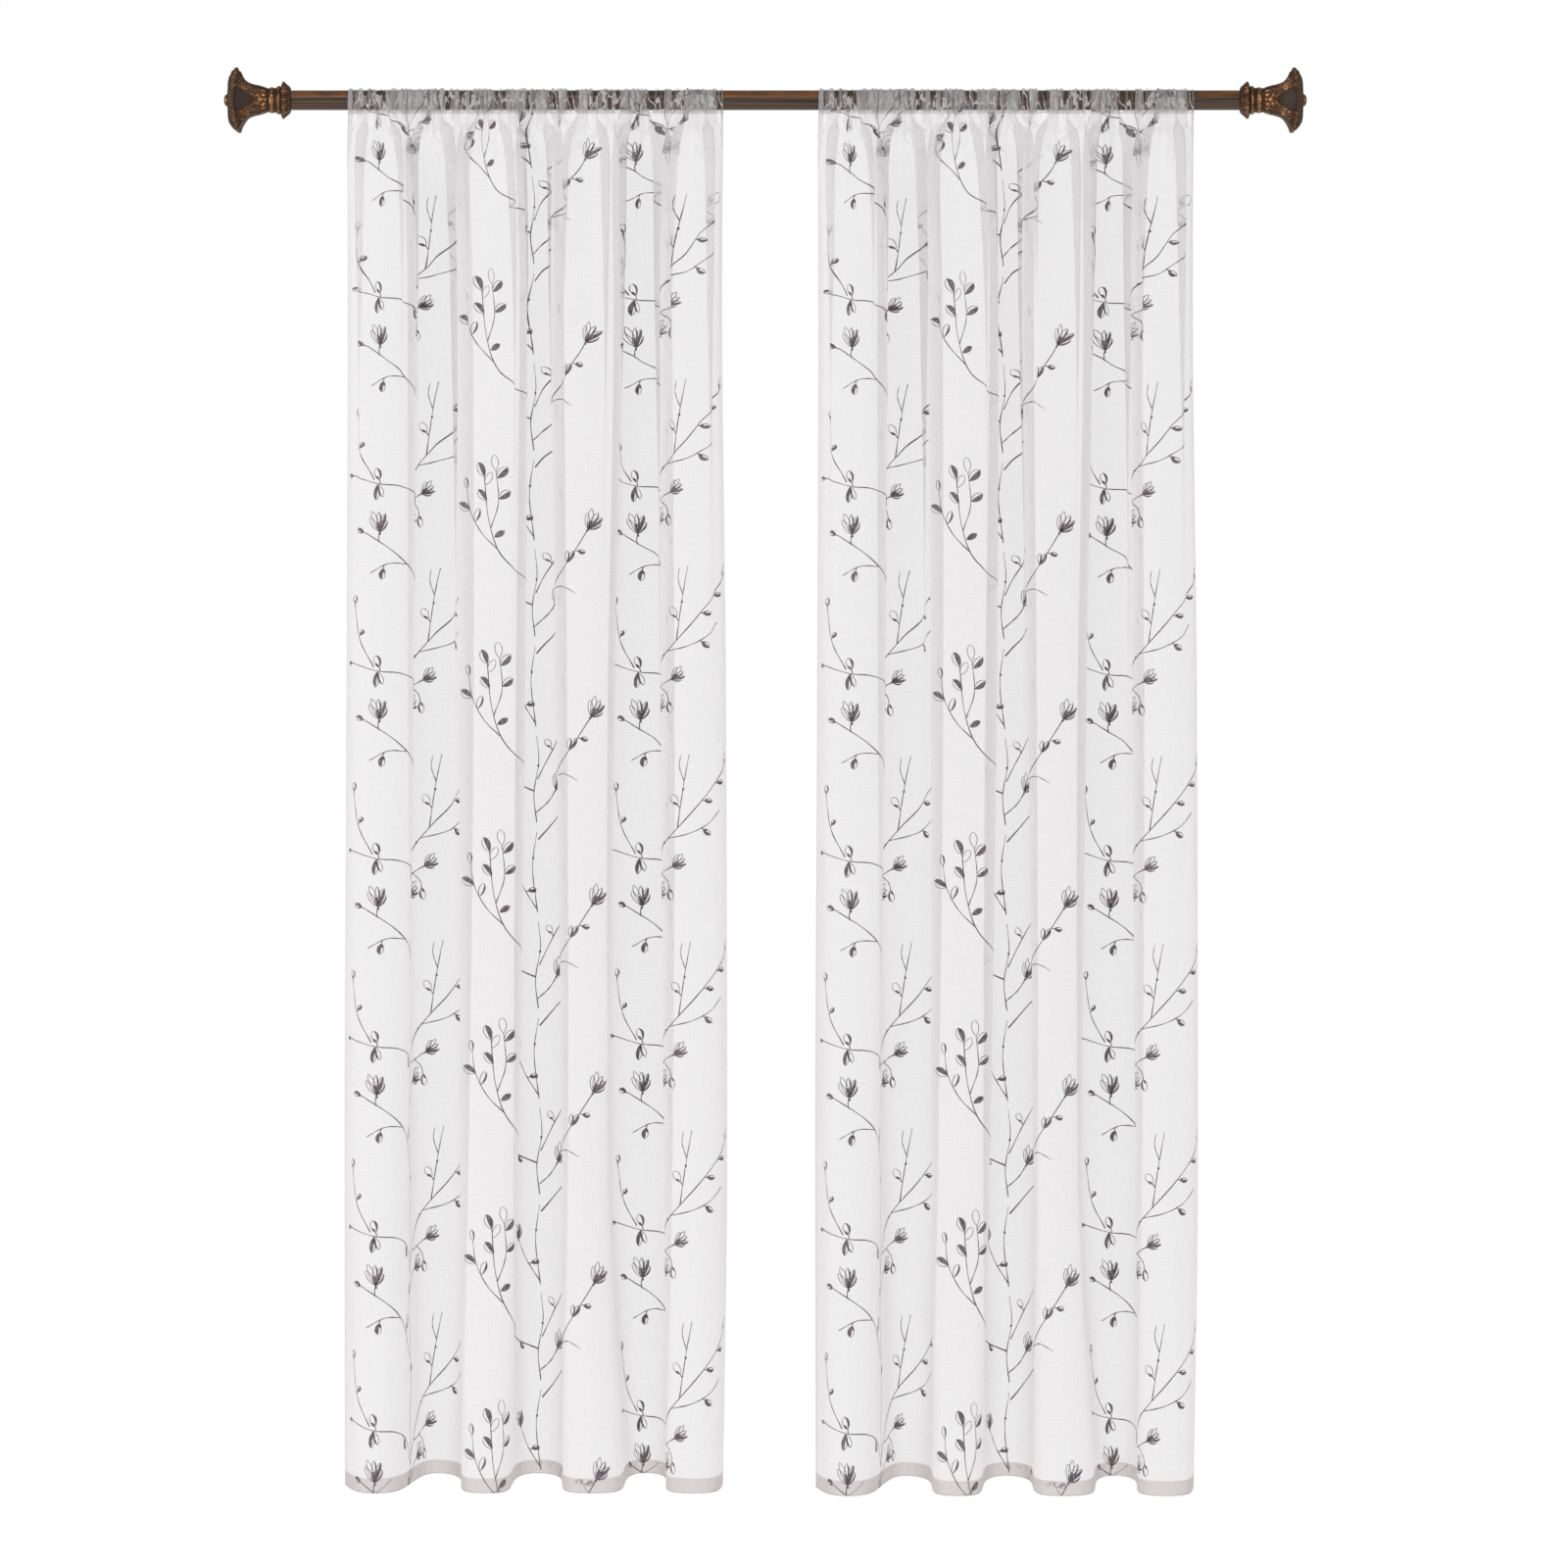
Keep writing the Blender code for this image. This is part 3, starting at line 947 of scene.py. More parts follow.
@dataclass(frozen=True)
class VoilePanel:
    """One curtain: a sheet of voile hung in seven folds, gathered on the rod by the pocket at its top."""

    name: str
    corner: float
    extra_drop: float = 0.0
    folds: int = 7
    width: float = 1372 * MM
    hem_drop: float = 2100.0
    seam_drop: float = 20.0
    hem_turn: float = 22.0
    side_turn: float = 9.0
    turn_gap: float = 0.9
    back_hem_lift: float = 21.0
    front_flatness: float = 1.15
    edge_turn: float = 0.02
    settled_drop: float = 240.0
    columns: int = 440
    rows: int = 150
    row_spacing: float = 1.45
    samples: int = 3000
    pocket_rows: int = 26
    pocket_radius: float = 15.9
    seam_step: tuple[float, ...] = (0.0, 1.2, 1.0)
    gathers: float = 60.0
    gather_height: float = 3.2
    gather_fade: float = 46.0
    gather_sway: float = 1.3
    least_facing: float = 0.4
    pocket_stretch: float = 0.8
    crest_layers: float = 1.1
    hem_rows: tuple[float, ...] = (0.0, 0.25, 0.5, 0.75, 0.92, 1.0)

    def at_walls(self, rows: Sequence[Any], drops: np.ndarray) -> np.ndarray:
        """Read a table of walls, one row of values for each drop."""
        places, walls = table_column(rows, "drop"), table_column(rows, "walls")
        return np.concatenate([eased(drops, places, column) for column in walls.T], axis=1)

    def fold_place(self, turns: np.ndarray, drops: np.ndarray) -> tuple[np.ndarray, np.ndarray]:
        """Where the folded sheet lies, before its gathers and creases.

        Args:
            turns: Places across the sheet, counted in folds, the same for every drop or a row for each.
            drops: Places down the sheet in mm, as a column.

        Returns:
            X from the panel's corner and Y, in mm, one row for each drop.
        """
        walls, leans = (self.at_walls(rows, drops) for rows in (FOLD_ROWS, LEAN_ROWS))
        turns = np.broadcast_to(turns, (len(drops), turns.shape[-1]))
        fold = np.clip(turns.astype(int), 0, self.folds - 1)
        along = turns - fold
        reach = eased(drops, table_column(RELIEF_ROWS, "drop"), table_column(RELIEF_ROWS, "fold"))
        later = 0.5 - 0.5 * np.cos(math.pi * along)
        lean_before, lean_after, before, after = (
            np.take_along_axis(values, fold + step, axis=1) for values in (leans, walls) for step in (0, 1)
        )
        lean = lean_before * (1 - later) + lean_after * later
        share = along - lean * np.sin(2 * math.pi * along) / (2 * math.pi)
        x = before + (after - before) * share
        swing = np.sin(math.pi * along)
        front = -np.tanh(self.front_flatness * swing) / math.tanh(self.front_flatness)
        return x, reach * np.where(fold % 2 == 0, front, swing)

    def turns_across(self, drops: np.ndarray) -> tuple[np.ndarray, np.ndarray]:
        """Even steps across the flat cloth, laid evenly along the folds of each row.

        Args:
            drops: Each row's drop in mm, as a column.

        Returns:
            Each column's share of the flat width, and its places counted in folds, one row for each drop.
        """
        samples = np.linspace(self.edge_turn, self.folds - self.edge_turn, self.samples)
        x, y = self.fold_place(samples, np.clip(drops, self.settled_drop, None))
        length = np.cumsum(np.hypot(np.diff(x, axis=1), np.diff(y, axis=1)), axis=1)
        share = np.linspace(0.0, 1.0, self.columns)
        turns = [np.interp(share, np.concatenate([[0.0], row / row[-1]]), samples) for row in length]
        return share, np.array(turns)

    def gather_phase(self, share: np.ndarray) -> np.ndarray:
        """The uneven run of small gathers across the pocket, one for each turn of 2 pi."""
        drift = 0.55 * np.sin(2 * math.pi * 5.3 * share) + 0.35 * np.sin(2 * math.pi * 13.7 * share + 1.3)
        return 2 * math.pi * (self.gathers * share + drift)

    def gather_ridge(self, phase: np.ndarray, share: np.ndarray) -> np.ndarray:
        """Height of the gathers, from 0 in the troughs to 1 on the highest ridge."""
        crest = (0.5 + 0.5 * np.cos(phase)) ** 4
        uneven = 0.66 + 0.24 * np.sin(2 * math.pi * 9.1 * share + 0.7) + 0.1 * np.sin(5.1 * phase / 7)
        return crest * uneven

    def sheet_points(self, share: np.ndarray, turns: np.ndarray, drops: np.ndarray) -> np.ndarray:
        """The hanging sheet from the pocket's seam to the hem, in mm from the panel's corner.

        Args:
            share: Each column's share of the flat width.
            turns: Each point's place counted in folds.
            drops: Each row's drop below the rod's axis, as a column.

        Returns:
            Points, one row for each drop.
        """
        x, y = self.fold_place(turns, drops)
        column = (turns - self.edge_turn) * 8.0
        pleat = eased(drops, table_column(RELIEF_ROWS, "drop"), table_column(RELIEF_ROWS, "pleat"))
        y = y + pleat * np.sin(1.05 * column + 0.8 * np.sin(0.37 * column))
        phase = self.gather_phase(share)
        ridge = self.gather_ridge(phase, share)
        fade = np.exp(-(drops - self.seam_drop) / (self.gather_fade * (0.5 + ridge)))
        y = y - self.gather_height * ridge * fade
        x = x + self.gather_sway * np.sin(phase) * fade
        for tuck in TUCKS:
            run = np.clip((turns - tuck.turn) / tuck.spread, -0.5, 0.5)
            hold = np.clip((drops - self.seam_drop) / 25.0, 0.25, 1.0)
            hold = hold * np.exp(-((drops / tuck.drop_low) ** 2))
            lap = np.sin(2 * math.pi * run) * np.cos(math.pi * run) ** 2
            x = x - 1.54 * tuck.lap * hold * lap
            y = y - tuck.rise * hold * np.cos(math.pi * run) ** 2 * np.cos(math.pi * (run - 0.25))
        for crease in CREASES:
            down = (drops - crease.drop_top) / (crease.drop_low - crease.drop_top)
            inside = np.clip(down, 0.0, 1.0)
            centre = crease.turn_top + (crease.turn_low - crease.turn_top) * inside
            taper = np.sin(math.pi * inside) ** 0.7
            off = (turns - centre) * self.width / MM / self.folds
            y = y - crease.rise * taper * np.exp(-np.abs(off) / crease.width)
        low = (drops / self.hem_drop) ** 8
        lift = self.back_hem_lift * (0.5 + 0.5 * np.clip(y / RELIEF_ROWS[-1].fold, -1.0, 1.0)) * low
        z = lift - drops * (1 + self.extra_drop / self.hem_drop) + 0 * x
        return np.stack([x, y, z], axis=-1)

    def pocket_points(self, share: np.ndarray, turns: np.ndarray) -> np.ndarray:
        """The pocket from its seam behind the rod, over the top and down the front, in mm."""
        first = math.acos(self.pocket_radius / self.seam_drop)
        angle = np.linspace(first, 2 * math.pi - first, self.pocket_rows)[:, None]
        x, _ = self.fold_place(turns, np.array([[0.0]]))
        skew = 0.7 * np.sin(2 * math.pi * 3.1 * share + 0.4) * (angle - math.pi)
        phase = self.gather_phase(share) + skew
        ridge = self.gather_ridge(phase, share)
        reach = self.pocket_radius + self.gather_height * ridge
        x = x + self.gather_sway * np.sin(phase)
        return np.stack([x, reach * np.sin(angle), -reach * np.cos(angle)], axis=-1)

    def turned_order(self, count: int, turned: int) -> tuple[np.ndarray, np.ndarray, np.ndarray]:
        """The order of rows or columns where the cloth is turned back behind itself past its last one.

        Args:
            count: How many rows or columns the face has.
            turned: How many of them the turned edge covers.

        Returns:
            Their numbers, how far behind the face each lies in mm, and which way its face points.
        """
        face = np.arange(count)
        back = face[::-1][:turned]
        order = np.concatenate([face, [count - 1], back])
        behind = np.concatenate([np.zeros(count), [self.turn_gap / 2], np.full(turned, self.turn_gap)])
        facing = np.concatenate([np.ones(count + 1), -np.ones(turned)])
        return order, behind, facing

    def build(self, finish: Material) -> HungCloth:
        """Hang the sheet, turn its hems and lay its pocket over the rod.

        Args:
            finish: The voile's material.

        Returns:
            The cloth, with its flat UV map in metres.
        """
        hem_start = self.hem_drop - self.hem_turn
        run = np.linspace(0.0, 1.0, self.rows) ** self.row_spacing
        drops = np.concatenate([self.seam_drop + (hem_start - self.turn_gap - self.seam_drop) * run,
                                hem_start + self.hem_turn * np.array(self.hem_rows)])[:, None]
        share, turns = self.turns_across(drops)
        sheet = self.sheet_points(share, turns, drops)
        pocket = self.pocket_points(share, turns[0])
        seam_behind = sheet[:1] + np.array(self.seam_step)
        face = np.concatenate([seam_behind, pocket, sheet])
        normal = unit(np.cross(np.gradient(face, axis=0), np.gradient(face, axis=1)))
        side = max(2, int(round(self.side_turn / (self.width / MM) * self.columns)))
        row_order, row_behind, row_facing = self.turned_order(len(face), len(self.hem_rows))
        column_order, column_behind, column_facing = self.turned_order(self.columns, side)
        column_order = np.concatenate([np.arange(side)[::-1], [0], column_order])
        column_behind = np.concatenate([column_behind[self.columns:][::-1], column_behind])
        column_facing = np.concatenate([column_facing[self.columns:][::-1], column_facing])
        picked = np.ix_(row_order, column_order)
        behind = row_behind[:, None] + column_behind[None, :]
        points = face[picked] - normal[picked] * behind[..., None]
        facing = normal[picked] * (row_facing[:, None] * column_facing[None, :])[..., None]
        layers, gathered = (values[picked] for values in self.layers_seen(face, normal, share))
        # 1 in the turned hem and half as much in the narrow side hems, 2 on the hem's folded edge
        hemmed = np.zeros(points.shape[:2])
        hemmed[:, :2 * side + 1] = hemmed[:, -2 * side - 1:] = 0.5
        hemmed[len(face) - len(self.hem_rows):] = 1.0
        hemmed[len(face) - 1:len(face) + 2] = 2.0
        path = np.linalg.norm(np.diff(face[:, self.columns // 2], axis=0), axis=1)
        values = {"layers": layers, "gathered": gathered, "hemmed": hemmed}
        flat = self.flat_map(share, path, side)
        cloth = self.dress(points, facing, values, flat, finish)
        starts = (flat[0, side + 1, 0], flat[len(face) - 1, 0, 1])
        return HungCloth(self, cloth, *map(float, (*starts, flat[0, -1, 0], flat[0, 0, 1])))

    def layers_seen(
        self, face: np.ndarray, normal: np.ndarray, share: np.ndarray
    ) -> tuple[np.ndarray, np.ndarray]:
        """How many layers of thread a level sight line crosses: more where the cloth is steep or gathered.

        Args:
            face: Points of the pocket and the sheet.
            normal: Which way the cloth faces at each of them.
            share: Each column's share of the hemmed width.

        Returns:
            The layers at each point, 1 on flat cloth that faces the viewer, and how far it is gathered there.
        """
        outward = np.zeros_like(face)
        outward[..., 1] = -1.0
        pocket = slice(0, self.pocket_rows + 1)
        outward[pocket, :, 1:] = unit(face[pocket, :, 1:])
        steep = 1.0 / np.maximum(np.abs((normal * outward).sum(axis=-1)), self.least_facing)
        crest = self.gather_ridge(self.gather_phase(share), share)
        below = -face[..., 2] - self.seam_drop
        hold = np.where(below > 0, np.exp(-np.clip(below, 0, None) / self.gather_fade), 1.0)
        hold[pocket] = 1.0
        stretched = np.zeros(len(face))[:, None]
        stretched[pocket] = self.pocket_stretch
        layers = np.minimum(steep, 1 / self.least_facing) - stretched + self.crest_layers * crest * hold
        return layers, hold**2 + np.zeros_like(steep)

    def flat_map(self, share: np.ndarray, path: np.ndarray, side: int) -> np.ndarray:
        """Where each point lies on the flat cloth, in metres from the cut corner at the lower left.

        Args:
            share: Each column's share of the hemmed width.
            path: Length in mm of each step down the cloth, pocket and sheet.
            side: How many columns each side hem covers.

        Returns:
            One (across, up) pair for each point of the turned grid.
        """
        down = np.concatenate([[0.0], np.cumsum(path)]) * MM
        drop = down[-1]
        turned_rows = drop + (drop - down[::-1][:len(self.hem_rows)]) + self.turn_gap * MM
        down = np.concatenate([down, [drop + 0.5 * self.turn_gap * MM], turned_rows])
        across = share * self.width
        edge = 0.5 * self.turn_gap * MM
        outer = across[:side] + 2 * edge
        across = np.concatenate([-outer[::-1], [-edge], across, [self.width + edge], self.width + outer])
        up = down[-1] - down
        wide, tall = np.meshgrid(across - across[0], up)
        return np.stack([wide, tall], axis=-1)

    def dress(
        self, points: np.ndarray, facing: np.ndarray, values: dict[str, np.ndarray], flat: np.ndarray,
        finish: Material,
    ) -> Piece:
        """Make the cloth's mesh and keep its flat map, its outward directions and its finish's values."""
        placed = points.reshape(-1, 3) * MM
        placed[:, 0] += self.corner
        faces = grid_faces(*points.shape[:2])
        cloth = mesh_object(f"{self.name}_voile", placed, faces, finish)
        store_value(cloth, "facing", facing.reshape(-1, 3))
        for name, value in values.items():
            store_value(cloth, name, value.ravel())
        layer = cloth.data.uv_layers.new(name="flat")
        corners = np.empty(len(cloth.data.loops), dtype=np.int64)
        cloth.data.loops.foreach_get("vertex_index", corners)
        layer.data.foreach_set("uv", flat.reshape(-1, 2)[corners].astype(np.float32).ravel())
        return cloth


@dataclass(frozen=True)
class FlatRepeat:
    """How a small flat piece repeats over the flat cloth: its first place, its steps and its counts."""

    first_across: float
    first_up: float
    step_across: float = 0.0
    step_up: float = 0.0
    across: int = 1
    up: int = 1


class ClothRepeat:
    """A Geometry Nodes tree that repeats a flat piece over the flat cloth and lays it on the hung cloth."""

    SOCKETS = (
        ("Geometry", "Geometry"), ("Cloth", "Object"), ("First Across", "Float"), ("First Up", "Float"),
        ("Step Across", "Float"), ("Step Up", "Float"), ("Across", "Int"), ("Up", "Int"),
        ("Stand Off", "Float"), ("Material", "Material"),
    )

    def __init__(self) -> None:
        """Build the tree once, for every print and stitch."""
        self.group = bpy.data.node_groups.new("repeat_on_cloth", "GeometryNodeTree")
        self.tree = Tree(self.group)
        sockets = self.group.interface
        self.ids = {
            name: sockets.new_socket(name=name, in_out="INPUT", socket_type=f"NodeSocket{kind}").identifier
            for name, kind in self.SOCKETS
        }
        sockets.new_socket(name="Geometry", in_out="OUTPUT", socket_type="NodeSocketGeometry")
        self.wire()

    def wire(self) -> None:
        """Link the tree: places on the flat cloth, instances there, then the hung cloth's surface."""
        tree, maths = self.tree, self.tree.maths
        given = tree.add("NodeGroupInput").outputs
        count = maths("MULTIPLY", given["Across"], given["Up"])
        number = tree.add("GeometryNodeInputIndex").outputs[0]
        column = maths("FLOOR", maths("DIVIDE", number, given["Up"]))
        row = maths("SUBTRACT", number, maths("MULTIPLY", column, given["Up"]))
        wide = maths("ADD", given["First Across"], maths("MULTIPLY", column, given["Step Across"]))
        tall = maths("ADD", given["First Up"], maths("MULTIPLY", row, given["Step Up"]))
        place = tree.add("ShaderNodeCombineXYZ", {0: wide, 1: tall}).outputs[0]
        points = tree.add("GeometryNodePoints", {"Count": count, "Position": place}).outputs[0]
        copied = {"Points": points, "Instance": given["Geometry"]}
        copies = tree.add("GeometryNodeInstanceOnPoints", copied).outputs[0]
        flat = tree.add("GeometryNodeRealizeInstances", {"Geometry": copies}).outputs[0]
        position = tree.add("GeometryNodeInputPosition").outputs[0]
        parts = tree.add("ShaderNodeSeparateXYZ", {0: position}).outputs
        spot = tree.add("ShaderNodeCombineXYZ", {0: parts[0], 1: parts[1]}).outputs[0]
        cloth = tree.add("GeometryNodeObjectInfo", {"Object": given["Cloth"]}).outputs["Geometry"]
        surface = self.sampled(cloth, position, spot)
        facing = self.sampled(cloth, self.named("facing"), spot).outputs[0]
        missed = tree.add("FunctionNodeBooleanMath", {0: surface.outputs["Is Valid"]}, operation="NOT")
        picked = {"Geometry": flat, "Selection": missed.outputs[0]}
        kept = tree.add("GeometryNodeDeleteGeometry", picked).outputs[0]
        height = maths("ADD", parts[2], given["Stand Off"])
        lift = tree.add("ShaderNodeVectorMath", {0: facing, "Scale": height}, operation="SCALE").outputs[0]
        laid = tree.add("ShaderNodeVectorMath", {0: surface.outputs[0], 1: lift}, operation="ADD").outputs[0]
        moved = tree.add("GeometryNodeSetPosition", {"Geometry": kept, "Position": laid}).outputs[0]
        whole = tree.add("GeometryNodeRealizeInstances", {"Geometry": moved}).outputs[0]
        dressed = tree.add("GeometryNodeSetMaterial", {"Geometry": whole, "Material": given["Material"]})
        tree.add("NodeGroupOutput", {0: dressed.outputs[0]})

    def named(self, name: str) -> Socket:
        """Read a vector attribute of the cloth by its name."""
        node = self.tree.add("GeometryNodeInputNamedAttribute", {"Name": name}, data_type="FLOAT_VECTOR")
        return node.outputs["Attribute"]

    def sampled(self, cloth: Socket, value: Socket, spot: Socket) -> bpy.types.Node:
        """Read a value of the cloth at a spot of its flat map."""
        inputs = {"Mesh": cloth, "Value": value, "UV Map": self.named("flat"), "Sample UV": spot}
        return self.tree.add("GeometryNodeSampleUVSurface", inputs, data_type="FLOAT_VECTOR")

    def lay(
        self, flat: Piece, cloth: HungCloth, repeat: FlatRepeat, stand_off: float, finish: Material
    ) -> Piece:
        """Repeat a flat piece over a cloth, make the result a plain mesh and take the flat piece away.

        Args:
            flat: The flat piece, in metres of flat cloth.
            cloth: The hung cloth.
            repeat: Where it repeats on the flat cloth.
            stand_off: How far in front of the cloth's face it lies.
            finish: Its material.

        Returns:
            The laid piece.
        """
        values = {
            "Cloth": cloth.piece, "First Across": repeat.first_across, "First Up": repeat.first_up,
            "Step Across": repeat.step_across, "Step Up": repeat.step_up, "Across": repeat.across,
            "Up": repeat.up, "Stand Off": stand_off, "Material": finish,
        }
        modifier = flat.modifiers.new("repeat", "NODES")
        modifier.node_group = self.group
        for socket, value in values.items():
            modifier[self.ids[socket]] = value
        evaluated = flat.evaluated_get(bpy.context.evaluated_depsgraph_get())
        mesh = bpy.data.meshes.new_from_object(evaluated)
        flat.modifiers.remove(modifier)
        bpy.data.objects.remove(flat, do_unlink=True)
        return linked("laid", mesh)


def smooth_path(points: Sequence[Pair], step: float) -> np.ndarray:
    """Run an even curve through given points.

    Args:
        points: The points in mm.
        step: The distance between the curve's own points.

    Returns:
        The curve's points.
    """
    spots = np.array(points, dtype=float)
    if len(spots) == 2:
        dense = spots[0] + np.linspace(0.0, 1.0, 20)[:, None] * (spots[1] - spots[0])
    else:
        held = np.concatenate([2 * spots[:1] - spots[1:2], spots, 2 * spots[-1:] - spots[-2:-1]])
        t = np.linspace(0.0, 1.0, 24, endpoint=False)[:, None]
        pieces = []
        for a, b, c, d in zip(held, held[1:], held[2:], held[3:]):
            pieces.append(0.5 * (2 * b + (c - a) * t + (2 * a - 5 * b + 4 * c - d) * t**2
                                 + (3 * b - a - 3 * c + d) * t**3))
        dense = np.concatenate([*pieces, spots[-1:]])
    length = np.concatenate([[0.0], np.cumsum(np.linalg.norm(np.diff(dense, axis=0), axis=1))])
    count = max(3, int(round(length[-1] / step)) + 1)
    reads = np.linspace(0.0, length[-1], count)
    return np.stack([np.interp(reads, length, dense[:, axis]) for axis in (0, 1)], axis=1)


class Petal(Enum):
    """How a petal, bud or leaf is printed: its outline, and how much of it is filled from one side."""

    OUTLINE = 0.0
    SHADED = 0.32
    HALF = 0.62
    FILLED = 1.0


class InkDrawing:
    """Flat ink shapes of one printed motif, drawn in mm of flat cloth."""

    STEP_MM = 2.8
    LANE_MM = 3.2

    def __init__(self) -> None:
        """Start with a clean sheet."""
        self.points: list[np.ndarray] = []
        self.faces: list[list[int]] = []
        self.count = 0

    def band(self, path: np.ndarray, left: np.ndarray, right: np.ndarray) -> None:
        """Fill a band along a path, between an offset to its left and one to its right.

        Args:
            path: The path's points in mm.
            left: The offset to the left of each point.
            right: The offset to the right of each point, negative.
        """
        along = unit(np.gradient(path, axis=0))
        normal = np.stack([-along[:, 1], along[:, 0]], axis=1)
        lanes = max(1, int(math.ceil((left - right).max() / self.LANE_MM)))
        shares = np.linspace(0.0, 1.0, lanes + 1)[None, :, None]
        offset = right[:, None, None] + (left - right)[:, None, None] * shares
        grid = path[:, None, :] + normal[:, None, :] * offset
        self.faces.extend((grid_faces(len(path), lanes + 1) + self.count).tolist())
        self.points.append(grid.reshape(-1, 2))
        self.count += grid.shape[0] * grid.shape[1]

    def stem(self, points: Sequence[Pair], start: float, end: float | None = None) -> None:
        """Draw a stem through given points, with small knots where a brush would rest.

        Args:
            points: The stem's points in mm.
            start: Its width at the first point.
            end: Its width at the last one, the same if left out.
        """
        path = smooth_path(points, self.STEP_MM)
        share = np.linspace(0.0, 1.0, len(path))
        width = start + ((end or start) - start) * share
        width = width * (1 + 0.22 * np.sin(19.0 * share + points[0][0]))
        self.band(path, width / 2, -width / 2)

    def blade(
        self, base: Pair, degrees: float, length: float, width: float, style: Petal,
        bend: float = 0.0, line: float = 1.05,
    ) -> None:
        """Draw a petal, bud or leaf.

        Args:
            base: Its foot in mm.
            degrees: The way it points, 90 being up.
            length: Its length.
            width: Its greatest width.
            style: How it is printed.
            bend: How far its tip swings to the left, in mm.
            line: The width of its outline.
        """
        turn = math.radians(degrees)
        ahead = np.array([math.cos(turn), math.sin(turn)])
        aside = np.array([-ahead[1], ahead[0]])
        foot = np.array(base, dtype=float)
        middle = foot + 0.55 * length * ahead + 0.2 * bend * aside
        tip = foot + length * ahead + bend * aside
        path = smooth_path([tuple(foot), tuple(middle), tuple(tip)], min(self.STEP_MM, length / 6))
        share = np.linspace(0.0, 1.0, len(path))
        half = 0.5 * width * np.sin(math.pi * share**1.2) ** 0.65 + 0.12
        if style is Petal.FILLED:
            self.band(path, half, -half)
            return
        self.band(path, half + line / 2, half - line / 2)
        self.band(path, -half + line / 2, -half - line / 2)
        if style is not Petal.OUTLINE:
            self.band(path, (2 * style.value - 1) * half, -half)

    def knot(self, at: Pair, degrees: float) -> None:
        """Draw a small dark thickening of a stem."""
        self.blade(at, degrees, 5.0, 3.2, Petal.FILLED)

    def bud(self, base: Pair, degrees: float, size: float, style: Petal = Petal.HALF) -> None:
        """Draw a closed bud on a short stalk.

        Args:
            base: Where the stalk starts, in mm.
            degrees: The way it points.
            size: The bud's length.
            style: How its body is printed.
        """
        turn = math.radians(degrees)
        foot = (base[0] + 0.3 * size * math.cos(turn), base[1] + 0.3 * size * math.sin(turn))
        self.stem([base, foot], 1.5)
        self.blade(foot, degrees, size, 0.56 * size, style, bend=0.08 * size)
        self.blade(foot, degrees + 30, 0.45 * size, 0.2 * size, Petal.FILLED)

    def leaf_pair(self, base: Pair, degrees: float, size: float) -> None:
        """Draw two leaves that part from one foot, with a narrow one between them."""
        self.blade(base, degrees - 17, size, 0.34 * size, Petal.HALF, bend=0.06 * size)
        self.blade(base, degrees + 19, 0.86 * size, 0.32 * size, Petal.SHADED, bend=-0.04 * size)
        self.blade(base, degrees + 2, 0.55 * size, 0.14 * size, Petal.FILLED)

    def blossom(self, base: Pair, degrees: float, size: float, heart: Petal = Petal.HALF) -> None:
        """Draw an open blossom seen from its side: loose outer petals round a darker heart.

        Args:
            base: The foot of its calyx, in mm.
            degrees: The way it opens.
            size: Its height.
            heart: How its inner petals are printed.
        """
        for spread, share, wide, style, bend in (
            (33, 0.80, 0.22, Petal.OUTLINE, -0.04),
            (15, 1.00, 0.23, Petal.OUTLINE, 0.03),
            (-3, 0.90, 0.22, Petal.SHADED, 0.0),
            (-21, 0.86, 0.22, heart, -0.05),
            (-44, 0.62, 0.20, Petal.SHADED, 0.05),
            (8, 0.46, 0.15, heart, 0.0),
        ):
            self.blade(base, degrees + spread, share * size, wide * size, style, bend * size)
        self.blade(base, degrees + 176, 0.14 * size, 0.12 * size, Petal.FILLED)

    def object(self, name: str) -> Piece:
        """Make the drawing a flat mesh in metres of flat cloth."""
        flat = np.concatenate(self.points) * MM
        points = np.concatenate([flat, np.zeros((len(flat), 1))], axis=1)
        return mesh_object(name, points, self.faces)


